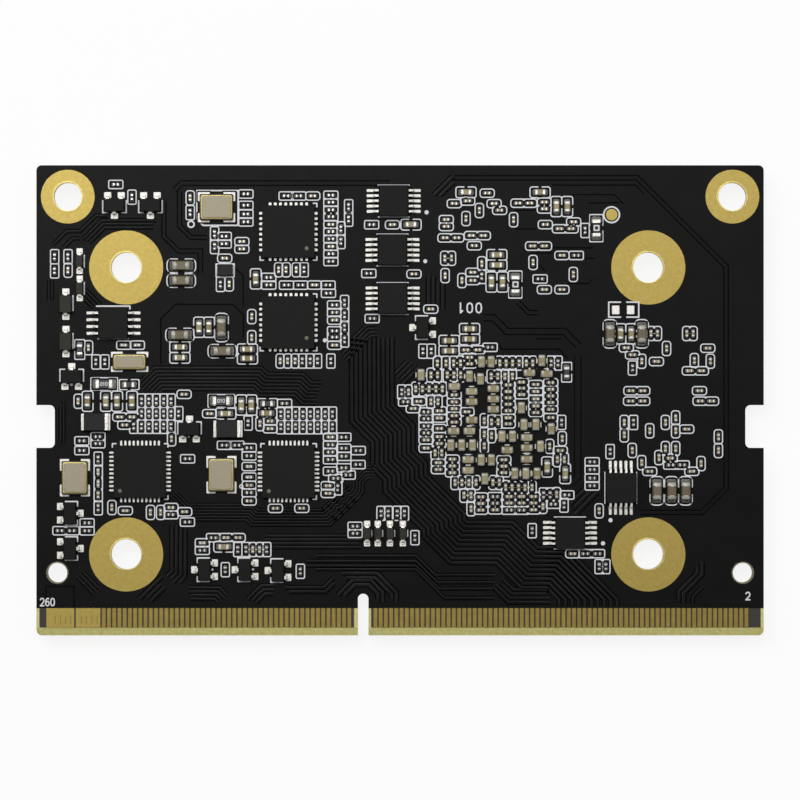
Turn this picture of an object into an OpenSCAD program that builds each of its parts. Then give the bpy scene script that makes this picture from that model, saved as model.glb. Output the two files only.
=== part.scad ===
// System on module: a card-edge computer board with its component face up.
// Millimetres. Origin at the centre of the board outline, at the level it rests on. +Z is the face with the
// small parts, -Y is the contact edge. Places on the board are measured from its centre, and spread with it.

/* [Board] */
// Length of the board, along the contact edge
board_len = 69.6; // [69:0.1:76]
// Width of the board, from the contact edge to the far edge
board_wid = 45; // [44.5:0.1:52]
// Thickness of the bare laminate
laminate_t = 1.14; // [0.8:0.02:1.6]
// Thickness of the solder mask and of the plated copper on each face
mask_t = 0.03; // [0.02:0.005:0.06]
// Corner radius of the board
board_r = 0.5; // [0.3:0.1:1]
// Depth of the latch notch in each short side
notch_d = 1.76; // [1:0.02:1.8]
// Width of each latch notch
notch_w = 4.1; // [3:0.1:5]
// Inner corner radius of the latch notches
notch_r = 0.5; // [0.2:0.1:0.8]
// Height of the notch centres above the contact edge
notch_y = 20; // [18:0.1:22]

/* [Contact edge] */
// Pitch of the edge contacts
contact_pitch = 0.5; // [0.45:0.01:0.5]
// Width of one contact
contact_w = 0.35; // [0.25:0.01:0.4]
// Height of the bare strip that the mask leaves open
contact_zone = 2.62; // [2.2:0.02:2.9]
// Length of the milled bevel, measured across the face
bevel_len = 0.75; // [0.4:0.05:1]
// Depth of the milled bevel, measured through the thickness
bevel_d = 0.27; // [0.1:0.01:0.35]
// Contacts on the short side of the key slot, the merged supply blocks included
contacts_short = 58; // [50:1:58]
// Contacts on the long side of the key slot
contacts_long = 72; // [60:1:72]
// Contacts merged in each of the two supply blocks
block_n = 5; // [2:1:6]
// Key slot centre, from the board's centre
slot_x = -3.53; // [-4:0.01:-3]
// Key slot width
slot_w = 1.02; // [0.8:0.02:1.2]
// Key slot depth
slot_d = 4; // [3:0.1:4.5]
// From the slot's centre to the nearest contact on the short side
slot_gap_short = 1.325; // [1.2:0.005:1.4]
// From the slot's centre to the nearest contact on the long side
slot_gap_long = 1.175; // [1.1:0.005:1.3]

/* [Holes] */
// Heatsink screw holes, spacing along the board
sink_dx = 49.97; // [49:0.01:50.5]
// Heatsink screw holes, spacing across the board
sink_dy = 27.46; // [26.8:0.01:28]
// Centre of the heatsink pattern, along the board
sink_x = -1.23; // [-1.5:0.01:-1]
// Centre of the heatsink pattern, above the contact edge
sink_y = 21.49; // [21:0.01:22]
// Heatsink hole diameter, inside the plating
sink_hole = 2.9; // [2.5:0.1:3.2]
// Heatsink land diameter
sink_land = 7.1; // [6:0.1:7.3]
// Corner screw holes, distance from the two edges
corner_in = 3; // [2.8:0.05:3.2]
// Corner hole diameter, inside the plating
corner_hole = 2.7; // [2.2:0.1:3]
// Corner land diameter
corner_land = 5.15; // [4.2:0.05:5.4]
// Guide holes, distance from the short edges
guide_in = 2; // [1.6:0.05:2.2]
// Guide holes, height above the contact edge
guide_y = 6; // [5:0.05:6.4]
// Guide hole diameter, not plated
guide_hole = 1.9; // [1.5:0.05:2.2]
// Wall of the copper plating in a hole
plating_t = 0.05; // [0.02:0.01:0.1]
// Diameter of the round alignment target
target_d = 1.1; // [0.8:0.05:1.4]

/* [Solder] */
// Thickness of the solder under a terminal
solder_t = 0.04; // [0.02:0.01:0.06]
// How far solder runs past each side of a chip terminal
solder_side = 0.03; // [0:0.01:0.04]
// Height of a fillet, as a share of the chip's height
fillet_share = 0.6; // [0.3:0.05:0.8]
// Height of the solder at the edge of a package with no leads
solder_rise = 0.25; // [0.1:0.01:0.3]

/* [Small chips] */
// Length
small_l = 0.6; // [0.5:0.01:0.65]
// Width
small_w = 0.31; // [0.25:0.01:0.34]
// Height
small_h = 0.3; // [0.2:0.01:0.4]
// Length of an end cap
small_band = 0.17; // [0.08:0.01:0.2]
// Reach of the solder past the end
small_out = 0.11; // [0.05:0.01:0.12]

/* [Medium chips] */
// Length
medium_l = 1.05; // [0.95:0.01:1.1]
// Width
medium_w = 0.56; // [0.5:0.01:0.6]
// Height of a capacitor
medium_h = 0.5; // [0.3:0.01:0.6]
// Height of a resistor
medium_res_h = 0.35; // [0.25:0.01:0.5]
// Length of an end cap
medium_band = 0.26; // [0.15:0.01:0.32]
// Reach of the solder past the end
medium_out = 0.19; // [0.08:0.01:0.2]

/* [Block capacitors] */
// Length
block_l = 1.12; // [1:0.01:1.16]
// Width
block_w = 0.7; // [0.6:0.01:0.72]
// Height
block_h = 0.6; // [0.4:0.01:0.8]
// Length of an end cap
block_band = 0.24; // [0.15:0.01:0.3]
// Reach of the solder past the end
block_out = 0.04; // [0.02:0.01:0.05]

/* [Large chips] */
// Length
large_l = 1.7; // [1.5:0.01:1.75]
// Width
large_w = 0.9; // [0.8:0.01:0.94]
// Height of a capacitor
large_h = 0.85; // [0.5:0.01:1]
// Height of a resistor or a bead
large_res_h = 0.5; // [0.35:0.01:0.7]
// Length of an end cap
large_band = 0.36; // [0.25:0.01:0.45]
// Reach of the solder past the end
large_out = 0.26; // [0.1:0.01:0.28]
// How far an end cap stands proud of the body it wraps
cap_wrap = 0.012; // [0.005:0.001:0.02]

/* [Quad packages] */
// Side of the quad packages
quad_side = 5; // [4.6:0.05:5.1]
// Height of the quad packages
quad_h = 0.85; // [0.5:0.05:1]
// Terminal pitch of the 32-way package
quad32_pitch = 0.5; // [0.45:0.01:0.5]
// Terminal pitch of the 40-way package
quad40_pitch = 0.4; // [0.36:0.01:0.42]
// Terminal width of the 32-way package
quad32_lead = 0.28; // [0.2:0.01:0.32]
// Terminal width of the 40-way package
quad40_lead = 0.21; // [0.15:0.01:0.25]
// Terminal length under the package
quad_under = 0.4; // [0.2:0.05:0.5]
// Reach of the soldered land past the 32-way package
quad32_out = 0.3; // [0.1:0.01:0.32]
// Reach of the soldered land past the 40-way package
quad40_out = 0.46; // [0.1:0.01:0.48]

/* [Leaded packages] */
// Length of the 8-way and 10-way packages
flat_l = 3; // [2.8:0.05:3.1]
// Width between the lead rows
flat_w = 2.9; // [2.7:0.05:3]
// Height
flat_h = 0.86; // [0.7:0.02:1]
// Lead pitch of the 10-way package
flat10_pitch = 0.5; // [0.45:0.01:0.52]
// Lead pitch of the 8-way package
flat8_pitch = 0.65; // [0.6:0.01:0.68]
// Lead width
flat_lead = 0.24; // [0.16:0.01:0.28]
// Lead run from the body to the bend
flat_run = 0.42; // [0.3:0.01:0.5]
// Foot length past the bend
flat_foot = 0.52; // [0.3:0.01:0.6]
// Thickness of formed leads
lead_t = 0.14; // [0.1:0.01:0.18]
// Solder land length past the foot
land_out = 0.2; // [0.1:0.01:0.24]
// Solder land width of the 8-way and 10-way packages
flat_land = 0.3; // [0.24:0.01:0.34]
// Draft of a moulded body, as a share of its height
draft_share = 0.12; // [0.05:0.01:0.2]

/* [Transistors and diodes] */
// Transistor body length, along the two-lead side
tran_l = 2.05; // [1.8:0.05:2.1]
// Transistor body width
tran_w = 1.25; // [1.1:0.05:1.3]
// Transistor body height
tran_h = 0.85; // [0.7:0.05:1]
// Transistor lead spacing on the two-lead side
tran_pitch = 1.3; // [1.2:0.02:1.4]
// Transistor lead width
tran_lead = 0.36; // [0.25:0.01:0.4]
// Solder land size of the transistors, across the lead
tran_land = 0.7; // [0.5:0.02:0.8]
// Larger diode body: length between the leads
diode_l = 1.7; // [1.5:0.05:1.8]
// Larger diode body width
diode_w = 1.25; // [1.1:0.05:1.35]
// Larger diode body height
diode_h = 0.85; // [0.6:0.05:1]
// Smaller diode body: length between the leads
diode_s_l = 1.15; // [1:0.05:1.2]
// Smaller diode body width
diode_s_w = 0.78; // [0.6:0.02:0.8]
// Smaller diode body height
diode_s_h = 0.55; // [0.4:0.05:0.7]
// Solder land size of the diodes, across the lead
diode_land = 0.62; // [0.4:0.02:0.7]

/* [Crystals and chokes] */
// Crystal length
xtal_l = 3.2; // [3:0.05:3.3]
// Crystal width
xtal_w = 2.5; // [2.3:0.05:2.6]
// Crystal ceramic base height
xtal_base_h = 0.45; // [0.3:0.05:0.6]
// Crystal lid height
xtal_lid_h = 0.22; // [0.1:0.02:0.3]
// Ledge of ceramic round the lid
xtal_ledge = 0.1; // [0.05:0.01:0.2]
// Corner radius of the lid
xtal_r = 0.22; // [0.1:0.02:0.4]
// Clock crystal width
clock_w = 1.55; // [1.4:0.05:1.6]
// Reach of the crystal lands past the base
xtal_out = 0.2; // [0.1:0.01:0.25]
// Share of each side of a crystal that a corner land covers
xtal_land_share = 0.36; // [0.2:0.01:0.4]
// Choke core length, between its terminals
choke_l = 2; // [1.8:0.05:2.1]
// Choke core width
choke_w = 1.62; // [1.4:0.02:1.7]
// Choke core height
choke_h = 1; // [0.7:0.05:1.2]
// Length of a choke terminal
choke_band = 0.2; // [0.1:0.01:0.3]
// Height of a choke terminal
choke_cap_h = 0.7; // [0.4:0.05:0.9]

/* [Underside] */
// Processor package side
soc_side = 17; // [15:0.1:17.4]
// Processor substrate height
soc_h = 0.4; // [0.3:0.05:0.6]
// Processor lid height
soc_lid_h = 0.8; // [0.5:0.05:1]
// Ledge of substrate round the processor lid
soc_ledge = 0.9; // [0.4:0.05:1.5]
// Corner radius of the processor lid
soc_lid_r = 0.8; // [0.4:0.1:1.5]
// Solder ball pitch
ball_pitch = 0.8; // [0.6:0.05:1]
// Solder ball diameter
ball_d = 0.4; // [0.3:0.02:0.5]
// Height of the balls after soldering
ball_h = 0.3; // [0.2:0.02:0.4]
// Memory package length
memory_l = 15; // [13:0.1:15.4]
// Memory package width
memory_w = 10; // [9:0.1:10.4]
// Flash package length
flash_l = 13; // [11:0.1:13.2]
// Flash package width
flash_w = 11.5; // [10:0.1:11.8]
// Height of the memory and flash packages
memory_h = 0.8; // [0.6:0.05:1.2]
// Power controller package side
power_side = 8; // [7:0.1:8.2]
// Power controller terminal pitch
power_pitch = 0.5; // [0.45:0.01:0.55]
// Power choke side
pchoke_side = 4; // [3.6:0.05:4.1]
// Power choke height, which sets the height the board rests at
pchoke_h = 2; // [1.8:0.05:3]
// Corner radius of a power choke
pchoke_r = 0.4; // [0.2:0.05:0.5]
// Width of a power choke's solder
pchoke_land = 2.8; // [2:0.1:2.8]
// Length of the solder under a power choke
pchoke_under = 1; // [0.5:0.1:1.5]
// Bulk capacitor length
bulk_l = 2; // [1.8:0.05:2.1]
// Bulk capacitor width
bulk_w = 1.25; // [1.1:0.05:1.3]
// Bulk capacitor height
bulk_h = 1.25; // [0.8:0.05:1.4]
// Length of a bulk capacitor end cap
bulk_band = 0.45; // [0.3:0.05:0.6]
// Reach of the solder past a bulk capacitor or a choke
bulk_out = 0.25; // [0.1:0.05:0.3]

/* [Hidden] */
$fn = 48;
// A little more than nothing, so that a cut passes right through
past = 0.5;
edge_y = -board_wid / 2;
z_under = pchoke_h + solder_t;
z_lam = z_under + mask_t;
z_lam_top = z_lam + laminate_t;
z_top = z_lam_top + mask_t;

ink_black = [0.09, 0.09, 0.085];
mould_black = [0.14, 0.14, 0.14];
gold = [0.72, 0.62, 0.3];
tin = [0.82, 0.81, 0.78];
tan_ceramic = [0.62, 0.56, 0.42];

sink_holes = [for (u = [-1, 1], v = [-1, 1]) [sink_x + u * sink_dx / 2, edge_y + sink_y + v * sink_dy / 2]];
corner_holes = [for (u = [-1, 1]) [u * (board_len / 2 - corner_in), board_wid / 2 - corner_in]];
guide_holes = [for (u = [-1, 1]) [u * (board_len / 2 - guide_in), edge_y + guide_y]];

// Board size that the places below are drawn for; on another board they spread in proportion
drawn_len = 69.6;
drawn_wid = 45;
spread_x = board_len / drawn_len;
spread_y = board_wid / drawn_wid;
target_place = [20.25, 17.77, 0];

// A chip's place is [x, y, turn]: turn 0 lies along X, turn 90 along Y
function along_x(list) = [for (p = list) [p[0], p[1], 0]];
function along_y(list) = [for (p = list) [p[0], p[1], 90]];
// A straight rank of places at one height, or one column of places at one distance
function rank(y, xs) = [for (x = xs) [x, y]];
function file(x, ys) = [for (y = ys) [x, y]];

// Small capacitors lying along X
small_caps_x = concat(
    rank(19.83, [8.34]), rank(18.83, [5.19, 9.0]), rank(19.08, [6.47]), rank(18.19, [9.53]),
    rank(18.87, [11.28, 12.41]), file(13.81, [18.96, 18.32]), file(4.42, [17.3, 16.64]),
    rank(15.55, [4.3, 5.43]), rank(15.77, [6.82, 7.97]), rank(14.8, [7.1]), rank(16.82, [13.9]),
    rank(16.42, [15.25, 16.37]), rank(17.07, [16.61]), rank(14.77, [12.68, 13.82]), rank(13.87, [15.49]),
    file(6.96, [12.25, 11.47]), rank(10.6, [13.81, 15.49]), rank(4.83, [6.3, 7.45]),
    rank(8.73, [2.94]), rank(12.09, [1.33]), rank(16.81, [-0.73]), rank(19.56, [-8.35]),
    file(-6.62, [16.82, 14.72]), rank(11.04, [-8.19]), file(-6.27, [7.68, 5.28]),
    file(-15.14, [15.19, 14.48]), rank(13.6, [-16.78]), rank(5.03, [21.65]), rank(4.36, [22.24]),
    rank(3.72, [24.53]), rank(4.99, [29.45]), rank(2.83, [27.68, 28.84]), rank(0.92, [22.09, 23.22, 28.65]),
    rank(-0.07, [22.06, 23.22, 28.71, 29.81]), rank(-2.75, [27.43]), rank(-5.53, [25.85]),
    rank(-6.79, [27.92, 23.89]), rank(-14.67, [16.52]), rank(-1.59, [-26.82, -25.64]), rank(-2.36, [-26.34]),
    rank(0.58, [-20.67]), rank(-10.55, [-26.29]), rank(-10.25, [-21.92]), rank(-10.66, [-20.61]),
    rank(-1.27, [-18.23]), file(-12.43, [-1.98, -2.71]), file(-14.44, [-8.12, -9.62]),
    rank(-3.52, [-6.66]), file(-6.89, [-8.17, -8.9]), rank(-10.33, [-11.93, -9.4]),
    rank(-13.13, [-16.65, -15.49]),
    rank(3.49, [6.66]), rank(4.12, [6.66]), rank(-0.1, [1.8]), rank(-0.78, [1.26]),
    file(5.18, [0.52, -0.15, -0.8, -1.47, -2.09]), rank(-1.09, [6.4]),
    file(10.35, [1.47, 0.84, 0.24, -0.37, -0.99, -1.67, -2.25]), file(11.63, [1.74, 1.16, 0.55]),
    file(12.99, [1.52, 0.85, 0.14, -0.54, -1.17]), file(14.42, [1.7, 1.06, 0.42, -0.21, -0.86, -1.65]),
    file(2.49, [-3.79, -4.57]), file(3.76, [-1.0, -1.69, -2.69, -3.47, -4.13]), rank(-4.79, [15.33]),
    file(3.66, [-5.96, -6.62]), file(5.0, [-5.62, -6.28, -6.93]), file(9.93, [-5.68, -6.3, -6.92]),
    file(7.73, [-9.24, -9.87, -10.5]), rank(-10.47, [9.1, 12.78]), rank(-9.2, [10.44, 11.63, 12.78]),
    rank(-9.82, [10.44, 11.63, 12.78]));
// Small capacitors lying along Y
small_caps_y = concat(
    rank(18.17, [7.59]), rank(17.4, [6.31]), rank(17.29, [10.86]), rank(13.6, [4.28, 4.92]),
    rank(13.07, [7.82]),
    rank(13.2, [12.73]), rank(11.94, [4.31]), rank(11.47, [5.92]), rank(12.05, [16.58]),
    rank(19.38, [-20.08]), rank(12.5, [-11.62, -10.9, -9.93]), rank(11.14, [-16.34]),
    file(-14.19, [8.02, 6.0]), rank(12.45, [-31.77]),
    rank(5.04, [-29.81]), rank(3.77, [-11.47, -10.76, -10.04]), rank(6.4, [24.0, 24.63, 27.43, 28.04]),
    rank(3.75, [23.12, 29.69]), rank(4.97, [25.5]), rank(3.81, [28.16]), rank(-2.11, [21.45, 25.39]),
    rank(-3.3, [21.45]), rank(-2.91, [23.89]), file(26.37, [-1.68, -2.91]), file(30.46, [-3.49, -4.8]),
    rank(-4.79, [22.22]), rank(-4.61, [25.39, 26.37]), rank(-5.47, [24.77]), rank(-6.05, [28.8]),
    rank(-5.96, [23.12]), rank(-10.57, [19.05]), rank(-0.08, [-30.8]), rank(-3.68, [-21.86]),
    rank(-9.05, [-28.88]), rank(-10.25, [-27.57]), rank(-10.72, [-23.88, -22.91]), rank(-2.23, [-13.4]),
    rank(-14.27, [-14.09, -13.44]),
    rank(3.57, [3.57, 4.39, 5.12, 5.78, 9.54, 10.15, 10.76, 11.39, 12.08, 12.7]),
    rank(2.42, [2.96, 3.59, 4.52, 5.15, 5.8]), rank(2.3, [8.72, 9.35, 10.03, 10.75]),
    rank(1.09, [1.5, 2.14, 2.78, 3.43, 4.05]), rank(0.8, [0.81]), rank(-0.13, [2.95, 3.63]),
    rank(-1.94, [8.06]),
    rank(-2.07, [8.75, 9.38]), rank(-3.23, [8.06]), rank(-3.38, [8.75]), rank(-4.36, [8.06]),
    rank(-4.4, [14.32]), rank(-3.66, [15.52]), rank(-5.67, [15.05, 15.72]), rank(-5.03, [3.35, 3.99]),
    rank(-7.86, [5.26, 5.92, 6.59, 7.27, 8.88, 9.5]), rank(-8.34, [10.1, 10.72, 11.34, 11.95, 12.63]),
    rank(-9.08, [6.12, 6.79]), rank(-10.37, [6.79]), rank(-10.15, [13.67]), rank(-9.01, [14.98]));
// Pale capacitors beside the crystals
load_caps_x = concat(rank(5.29, [-26.44, -25.14]), file(-14.44, [-6.33, -7.34]), rank(-13.63, [-18.92]));
load_caps_y = file(-28.88, [-6.85, -7.95]);
// Small resistors lying along X
small_res_x = concat(
    rank(20.66, [-27.2]), file(-14.75, [19.75, 18.66, 17.82, 17.08]), file(-16.83, [15.69, 14.98]),
    rank(19.56, [-10.9, -9.7]), file(-6.62, [19.63, 18.94, 18.22, 17.57, 16.14, 15.45, 14.02, 13.29]),
    rank(11.03, [-10.87, -9.52, -6.89]), file(-12.56, [11.77, 11.04]), rank(10.25, [-6.85]),
    file(-6.27, [9.13, 8.41, 6.65, 6.05]), rank(16.81, [-2.72]), rank(12.15, [-2.99]), rank(7.83, [-2.67]),
    rank(13.87, [16.86]), rank(11.62, [13.4]), rank(5.08, [8.62]), rank(-6.18, [25.9, 27.0]),
    file(18.38, [-5.88, -6.63, -7.44, -8.18]), rank(-14.67, [17.74, 18.9]), file(-30.45, [-3.87, -4.8]),
    file(-28.91, [-3.47, -4.14]), rank(-5.59, [-20.33]), rank(-10.93, [-21.93]), rank(-11.64, [-20.35]),
    file(-29.95, [-11.72, -12.48]), rank(-12.47, [-32.55, -31.39]), rank(-0.29, [-11.05]),
    rank(-4.29, [-16.81, -15.6]),
    file(-14.44, [-4.54, -5.31, -8.82]), file(-5.38, [-3.52, -4.58, -5.35, -6.46]),
    file(-6.66, [-4.25, -4.95, -5.67, -6.78]), rank(-4.8, [-4.0]), rank(-6.14, [-4.02]), rank(-7.14, [-4.96]),
    rank(-7.46, [-6.16]), rank(-14.35, [-18.92]), rank(-13.14, [-17.85]), file(-4.3, [-12.05, -12.73]),
    rank(-0.14, [0.53]), file(2.49, [-1.11, -1.76, -2.46, -3.12]), file(9.1, [-9.21, -9.84]),
    rank(-10.5, [10.44, 11.63]), rank(-9.93, [14.66]), rank(-9.05, [15.96]));
// Ranks of series resistors: [first place, pitch along X, ranks, columns]
res_bank_pitch = [0.705, -1.21];
res_banks = [[[-24.73, -0.06], 3, 5], [[-11.4, -1.31], 2, 8]];
// Small resistors lying along Y
small_res_y = concat(
    [for (b = res_banks, r = [0 : b[1] - 1], c = [0 : b[2] - 1])
        b[0] + [c * res_bank_pitch[0], r * res_bank_pitch[1]]],
    rank(19.45, [-25.65]), rank(13.75, [-33.05, -31.77]), rank(12.39, [-33.05]), rank(3.68, [-29.1, -28.24]),
    rank(17.97, [-20.08]), file(-17.75, [15.94, 14.72]), rank(11.1, [-17.18]), file(-5.66, [16.42, 15.2]),
    file(-4.92, [18.53, 17.34]), rank(12.5, [-9.18]), file(-5.31, [9.37, 8.17, 6.95, 5.78]),
    rank(3.77, [-9.35, -8.6, -7.9, -6.62]), rank(4.71, [2.19, 2.98]), rank(16.26, [17.7]),
    rank(11.86, [7.81]),
    rank(3.1, [22.24]), rank(-2.11, [22.34]), rank(-4.9, [20.1]), rank(-12.47, [12.64]),
    rank(-15.9, [19.05, 19.69]),
    rank(-1.27, [-21.18]), rank(-2.48, [-25.48]), file(-28.88, [-5.62, -10.28]), rank(-2.17, [-14.54]),
    rank(-8.37, [-5.96]), rank(-14.27, [-15.53, -14.74, -12.76]), rank(-16.2, [-16.72]),
    rank(-16.35, [-9.54]),
    rank(-10.81, [-1.82, -1.13, -0.27, 0.42]), rank(-13.14, [1.42]), rank(3.57, [14.45, 15.11]),
    rank(0.8, [0.16]), rank(-2.11, [15.46]), rank(-9.05, [13.73, 14.36]), rank(-10.02, [15.69]));

medium_caps_x = concat(
    file(-21.07, [5.09, 4.08]), file(-14.6, [4.89, 4.0]), rank(16.82, [1.05]), rank(19.91, [6.31, 13.4]),
    file(9.26, [13.92, 12.94]), file(6.65, [6.85, 5.85]), file(4.69, [5.71, 4.73]), rank(-1.27, [-16.68]),
    rank(-1.23, [-12.75]), rank(-14.0, [-16.86]));
medium_caps_y = concat(
    rank(11.63, [-13.81]), rank(7.0, [-19.23, -18.28]), rank(18.55, [14.95, 16.0]), rank(11.33, [8.74, 9.8]),
    rank(6.37, [21.09, 22.11]), rank(-0.08, [-29.9, -28.14, -27.07, -25.65]), rank(-0.44, [-15.18, -14.22]),
    rank(-6.37, [14.07]), rank(-7.0, [15.8]));
medium_res_x = [[-25.92, 1.51], [-12.68, -0.31]];
medium_res_y = [[-30.65, 4.87], [15.94, 2.7]];
block_caps_x = concat(
    rank(2.63, [12.37]), rank(2.54, [14.04]), rank(1.32, [5.2]), file(6.85, [0.85, -0.14, -1.88]),
    file(8.92, [1.12, 0.12, -0.86]), rank(-2.94, [5.13, 6.64]), file(12.12, [-3.56, -4.54, -5.63]),
    rank(-4.75, [10.25]), file(6.52, [-5.67, -6.69]));
block_caps_y = concat(
    rank(3.69, [7.79, 8.71]), rank(3.8, [13.56]), rank(2.44, [2.01]), rank(2.3, [6.64]), rank(2.04, [7.69]),
    rank(-0.72, [11.61]), rank(-4.28, [4.86, 5.9, 6.93]), rank(-3.45, [9.75, 10.76]),
    rank(-2.32, [11.85, 12.99]),
    rank(-2.73, [14.46]), rank(-4.4, [13.43]), rank(-5.7, [7.76, 8.74]), rank(-6.99, [10.98, 12.04, 13.1]),
    rank(-7.5, [8.11]));
large_caps_x = [[-20.93, 12.89], [-20.94, 11.46], [-21.06, 6.26], [-17.01, 4.71]];
large_caps_y = concat(rank(6.97, [-17.08]), rank(6.37, [20.08, 23.12]), rank(-8.65, [24.57, 25.98, 27.32]));
large_res_places = along_x([[-28.31, 1.57], [-17.1, -0.04]]);
bead_places = along_y([[18.78, 16.48], [11.03, 11.09]]);

small_caps = concat(along_x(small_caps_x), along_y(small_caps_y));
load_caps = concat(along_x(load_caps_x), along_y(load_caps_y));
small_res = concat(along_x(small_res_x), along_y(small_res_y));
medium_caps = concat(along_x(medium_caps_x), along_y(medium_caps_y));
medium_res = concat(along_x(medium_res_x), along_y(medium_res_y));
block_caps = concat(along_x(block_caps_x), along_y(block_caps_y));
large_caps = concat(along_x(large_caps_x), along_y(large_caps_y));

quad32_places = [[-10.68, 16.14, 0], [-10.68, 7.47, 0]];
quad40_places = [[-24.87, -6.8, 0], [-10.67, -6.8, 0]];
flat8_place = [-27.42, 7.39, 0];
flat10_places = [
    [-0.61, 19.08, 0], [-0.73, 14.39, 0], [-0.71, 9.75, 0], [16.26, -12.68, 0], [21.12, -8.36, 90]];
// A transistor's single lead points along +Y at turn 0
tran_places = [
    [-27.33, 18.65, 180], [-23.89, 18.65, 180], [-31.42, 2.29, 0], [2.16, 6.97, 90], [-20.15, -2.74, 0],
    [-31.55, -10.8, 270], [-31.55, -14.17, 270], [-18.71, -16.2, 90], [-14.83, -16.2, 90],
    [-11.68, -16.28, 90]];
diode_places = along_y([[-31.98, 9.21], [-31.97, 5.63]]);
diode_s_places = along_y(concat(
    [[-30.66, 13.33], [-30.65, 10.72]], rank(-12.74, [-3.16, -2.13, -0.97, 0.27])));
xtal_places = [[-17.56, 18.49, 0], [-31.11, -7.4, 90], [-17.09, -7.11, 90]];
clock_place = [-25.88, 3.69, 0];
// Chokes, and the small moulded filter that has a land at each end as they do
choke_places = along_x([[-29.1, -2.07], [-16.45, -2.73]]);
filter_place = [-16.74, 12.47, 0];
filter_size = [1.45, 1.1, 0.6];
// Width of the filter's solder, its length under the body and its reach past the body
filter_land = [0.9, 0.3, 0.05];
// A tinned footprint with nothing fitted
bare_place = [21.35, 8.66, 0];
bare_gap = 1.43;
bare_land = [0.73, 0.85];

soc_place = [8.7, -2.9, 0];
memory_places = [[10.5, 15.2, 0], [25.8, -0.2, 90]];
flash_place = [-14.2, 13, 90];
power_place = [-8.6, -6.4, 0];
pchoke_places = along_x([[-4.4, 18.4], [-4.4, 13.4], [-4.4, 8.4], [-16.4, -3.6], [-16.4, -9.4], [-22.6, -3.6],
    [31, -11.6], [14.6, -15.2]]);
bulk_places = along_y(concat(rank(18.4, [-0.6, 1.2]), rank(13.4, [-0.6, 1.2]), rank(8.4, [-0.6, 1.2]),
    rank(-13.4, [-15.6, -13.6, -9.6, -7.6]), rank(-13.8, [8, 10]), rank(-7.6, [-21.8]),
    rank(-15.4, [30, 18.4])));
// Medium capacitors round the processor, the memories and the power controller
under_caps = concat(
    along_x(concat(rank(7, [for (i = [0 : 6]) 3.6 + 2 * i]), rank(-1.2, [for (i = [0 : 3]) -11.6 + 2 * i]))),
    along_y(concat(file(19, [for (i = [0 : 6]) 4 - 2.2 * i]), file(-21.4, [for (i = [0 : 5]) 7.6 + 2.2 * i]))));
under_xtal_place = [-3.2, 2.6, 90];

module on_top() {
    translate([0, 0, z_top]) children();
}

module on_underside() {
    translate([0, 0, z_under]) mirror([0, 0, 1]) children();
}

module at(place) {
    translate([place[0] * spread_x, place[1] * spread_y, 0]) rotate(place[2]) children();
}

module round_rect(l, w, r) {
    square([l - 2 * r, w], center = true);
    square([l, w - 2 * r], center = true);
    for (u = [-1, 1], v = [-1, 1])
        translate([u * (l / 2 - r), v * (w / 2 - r)]) circle(r);
}

module block(l, w, h) {
    translate([-l / 2, -w / 2, 0]) cube([l, w, h]);
}

// Moulded body: widest at the parting line, with a draft above and below it
module moulded(l, w, h) {
    draft = draft_share * h;
    function lens(s) = [[-s / 2 + draft, 0], [s / 2 - draft, 0], [s / 2, h / 2], [s / 2 - draft, h],
        [-s / 2 + draft, h], [-s / 2, h / 2]];
    intersection() {
        rotate([90, 0, 0]) linear_extrude(w, center = true) polygon(lens(l));
        rotate([90, 0, 90]) linear_extrude(l, center = true) polygon(lens(w));
    }
}

// Solder joint seen from its side: a thin bed under the terminal and a fillet up its end, along +X
module solder_joint(width, under, out, rise) {
    rotate([90, 0, 0]) linear_extrude(width, center = true)
        polygon([[-under, 0], [out, 0], [out, solder_t], [0, rise], [0, solder_t], [-under, solder_t]]);
}

// Lead formed as a gull wing, leaving the body at height exit and standing on its solder
module gull_wing(width, exit, run, foot) {
    rotate([90, 0, 0]) linear_extrude(width, center = true) polygon([
        [0, exit + lead_t / 2], [run, exit + lead_t / 2], [run, lead_t], [run + foot, lead_t],
        [run + foot, 0], [run - lead_t, 0], [run - lead_t, exit - lead_t / 2], [0, exit - lead_t / 2]]);
}

// The two ends of a part: children are drawn at +X, then turned to -X
module both_ends(reach) {
    for (turn = [0, 180]) rotate(turn) translate([reach, 0, 0]) children();
}

// Children repeated along Y about the middle, count copies at a pitch
module in_row(count, pitch) {
    for (i = [0 : count - 1]) translate([0, (i - (count - 1) / 2) * pitch, 0]) children();
}

// Ceramic bodies of chips, between their end caps; seat is the height of the solder they stand on
module chip_bodies(places, l, w, h, band, seat = solder_t) {
    for (p = places) at(p) translate([0, 0, seat + cap_wrap])
        block(l - 2 * band, w - 2 * cap_wrap, h - 2 * cap_wrap);
}

module chip_ends(places, l, w, h, band) {
    for (p = places) at(p) both_ends(l / 2 - band / 2) translate([0, 0, solder_t]) block(band, w, h);
}

module chip_solder(places, l, w, h, band, out) {
    for (p = places) at(p) both_ends(l / 2)
        solder_joint(w + 2 * solder_side, band, out, solder_t + fillet_share * h);
}

// The smallest chips are pulled down onto their lands: each end cap and its fillet are one piece of metal
module chip_soldered_ends(places, l, w, h, band, out) {
    for (p = places) at(p) both_ends(l / 2) rotate([90, 0, 0]) linear_extrude(w, center = true)
        polygon([[-band, 0], [out, 0], [0, fillet_share * h], [0, h], [-band, h]]);
}

// Terminals on the four sides of a quad package
module quad_terminals(side, per_side, pitch, lead_w, out) {
    for (turn = [0 : 90 : 270]) rotate(turn) translate([side / 2, 0, 0])
        in_row(per_side, pitch) solder_joint(lead_w, quad_under, out, solder_rise);
}

module quad_body(side, h) {
    translate([0, 0, solder_t]) block(side, side, h);
}

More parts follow.
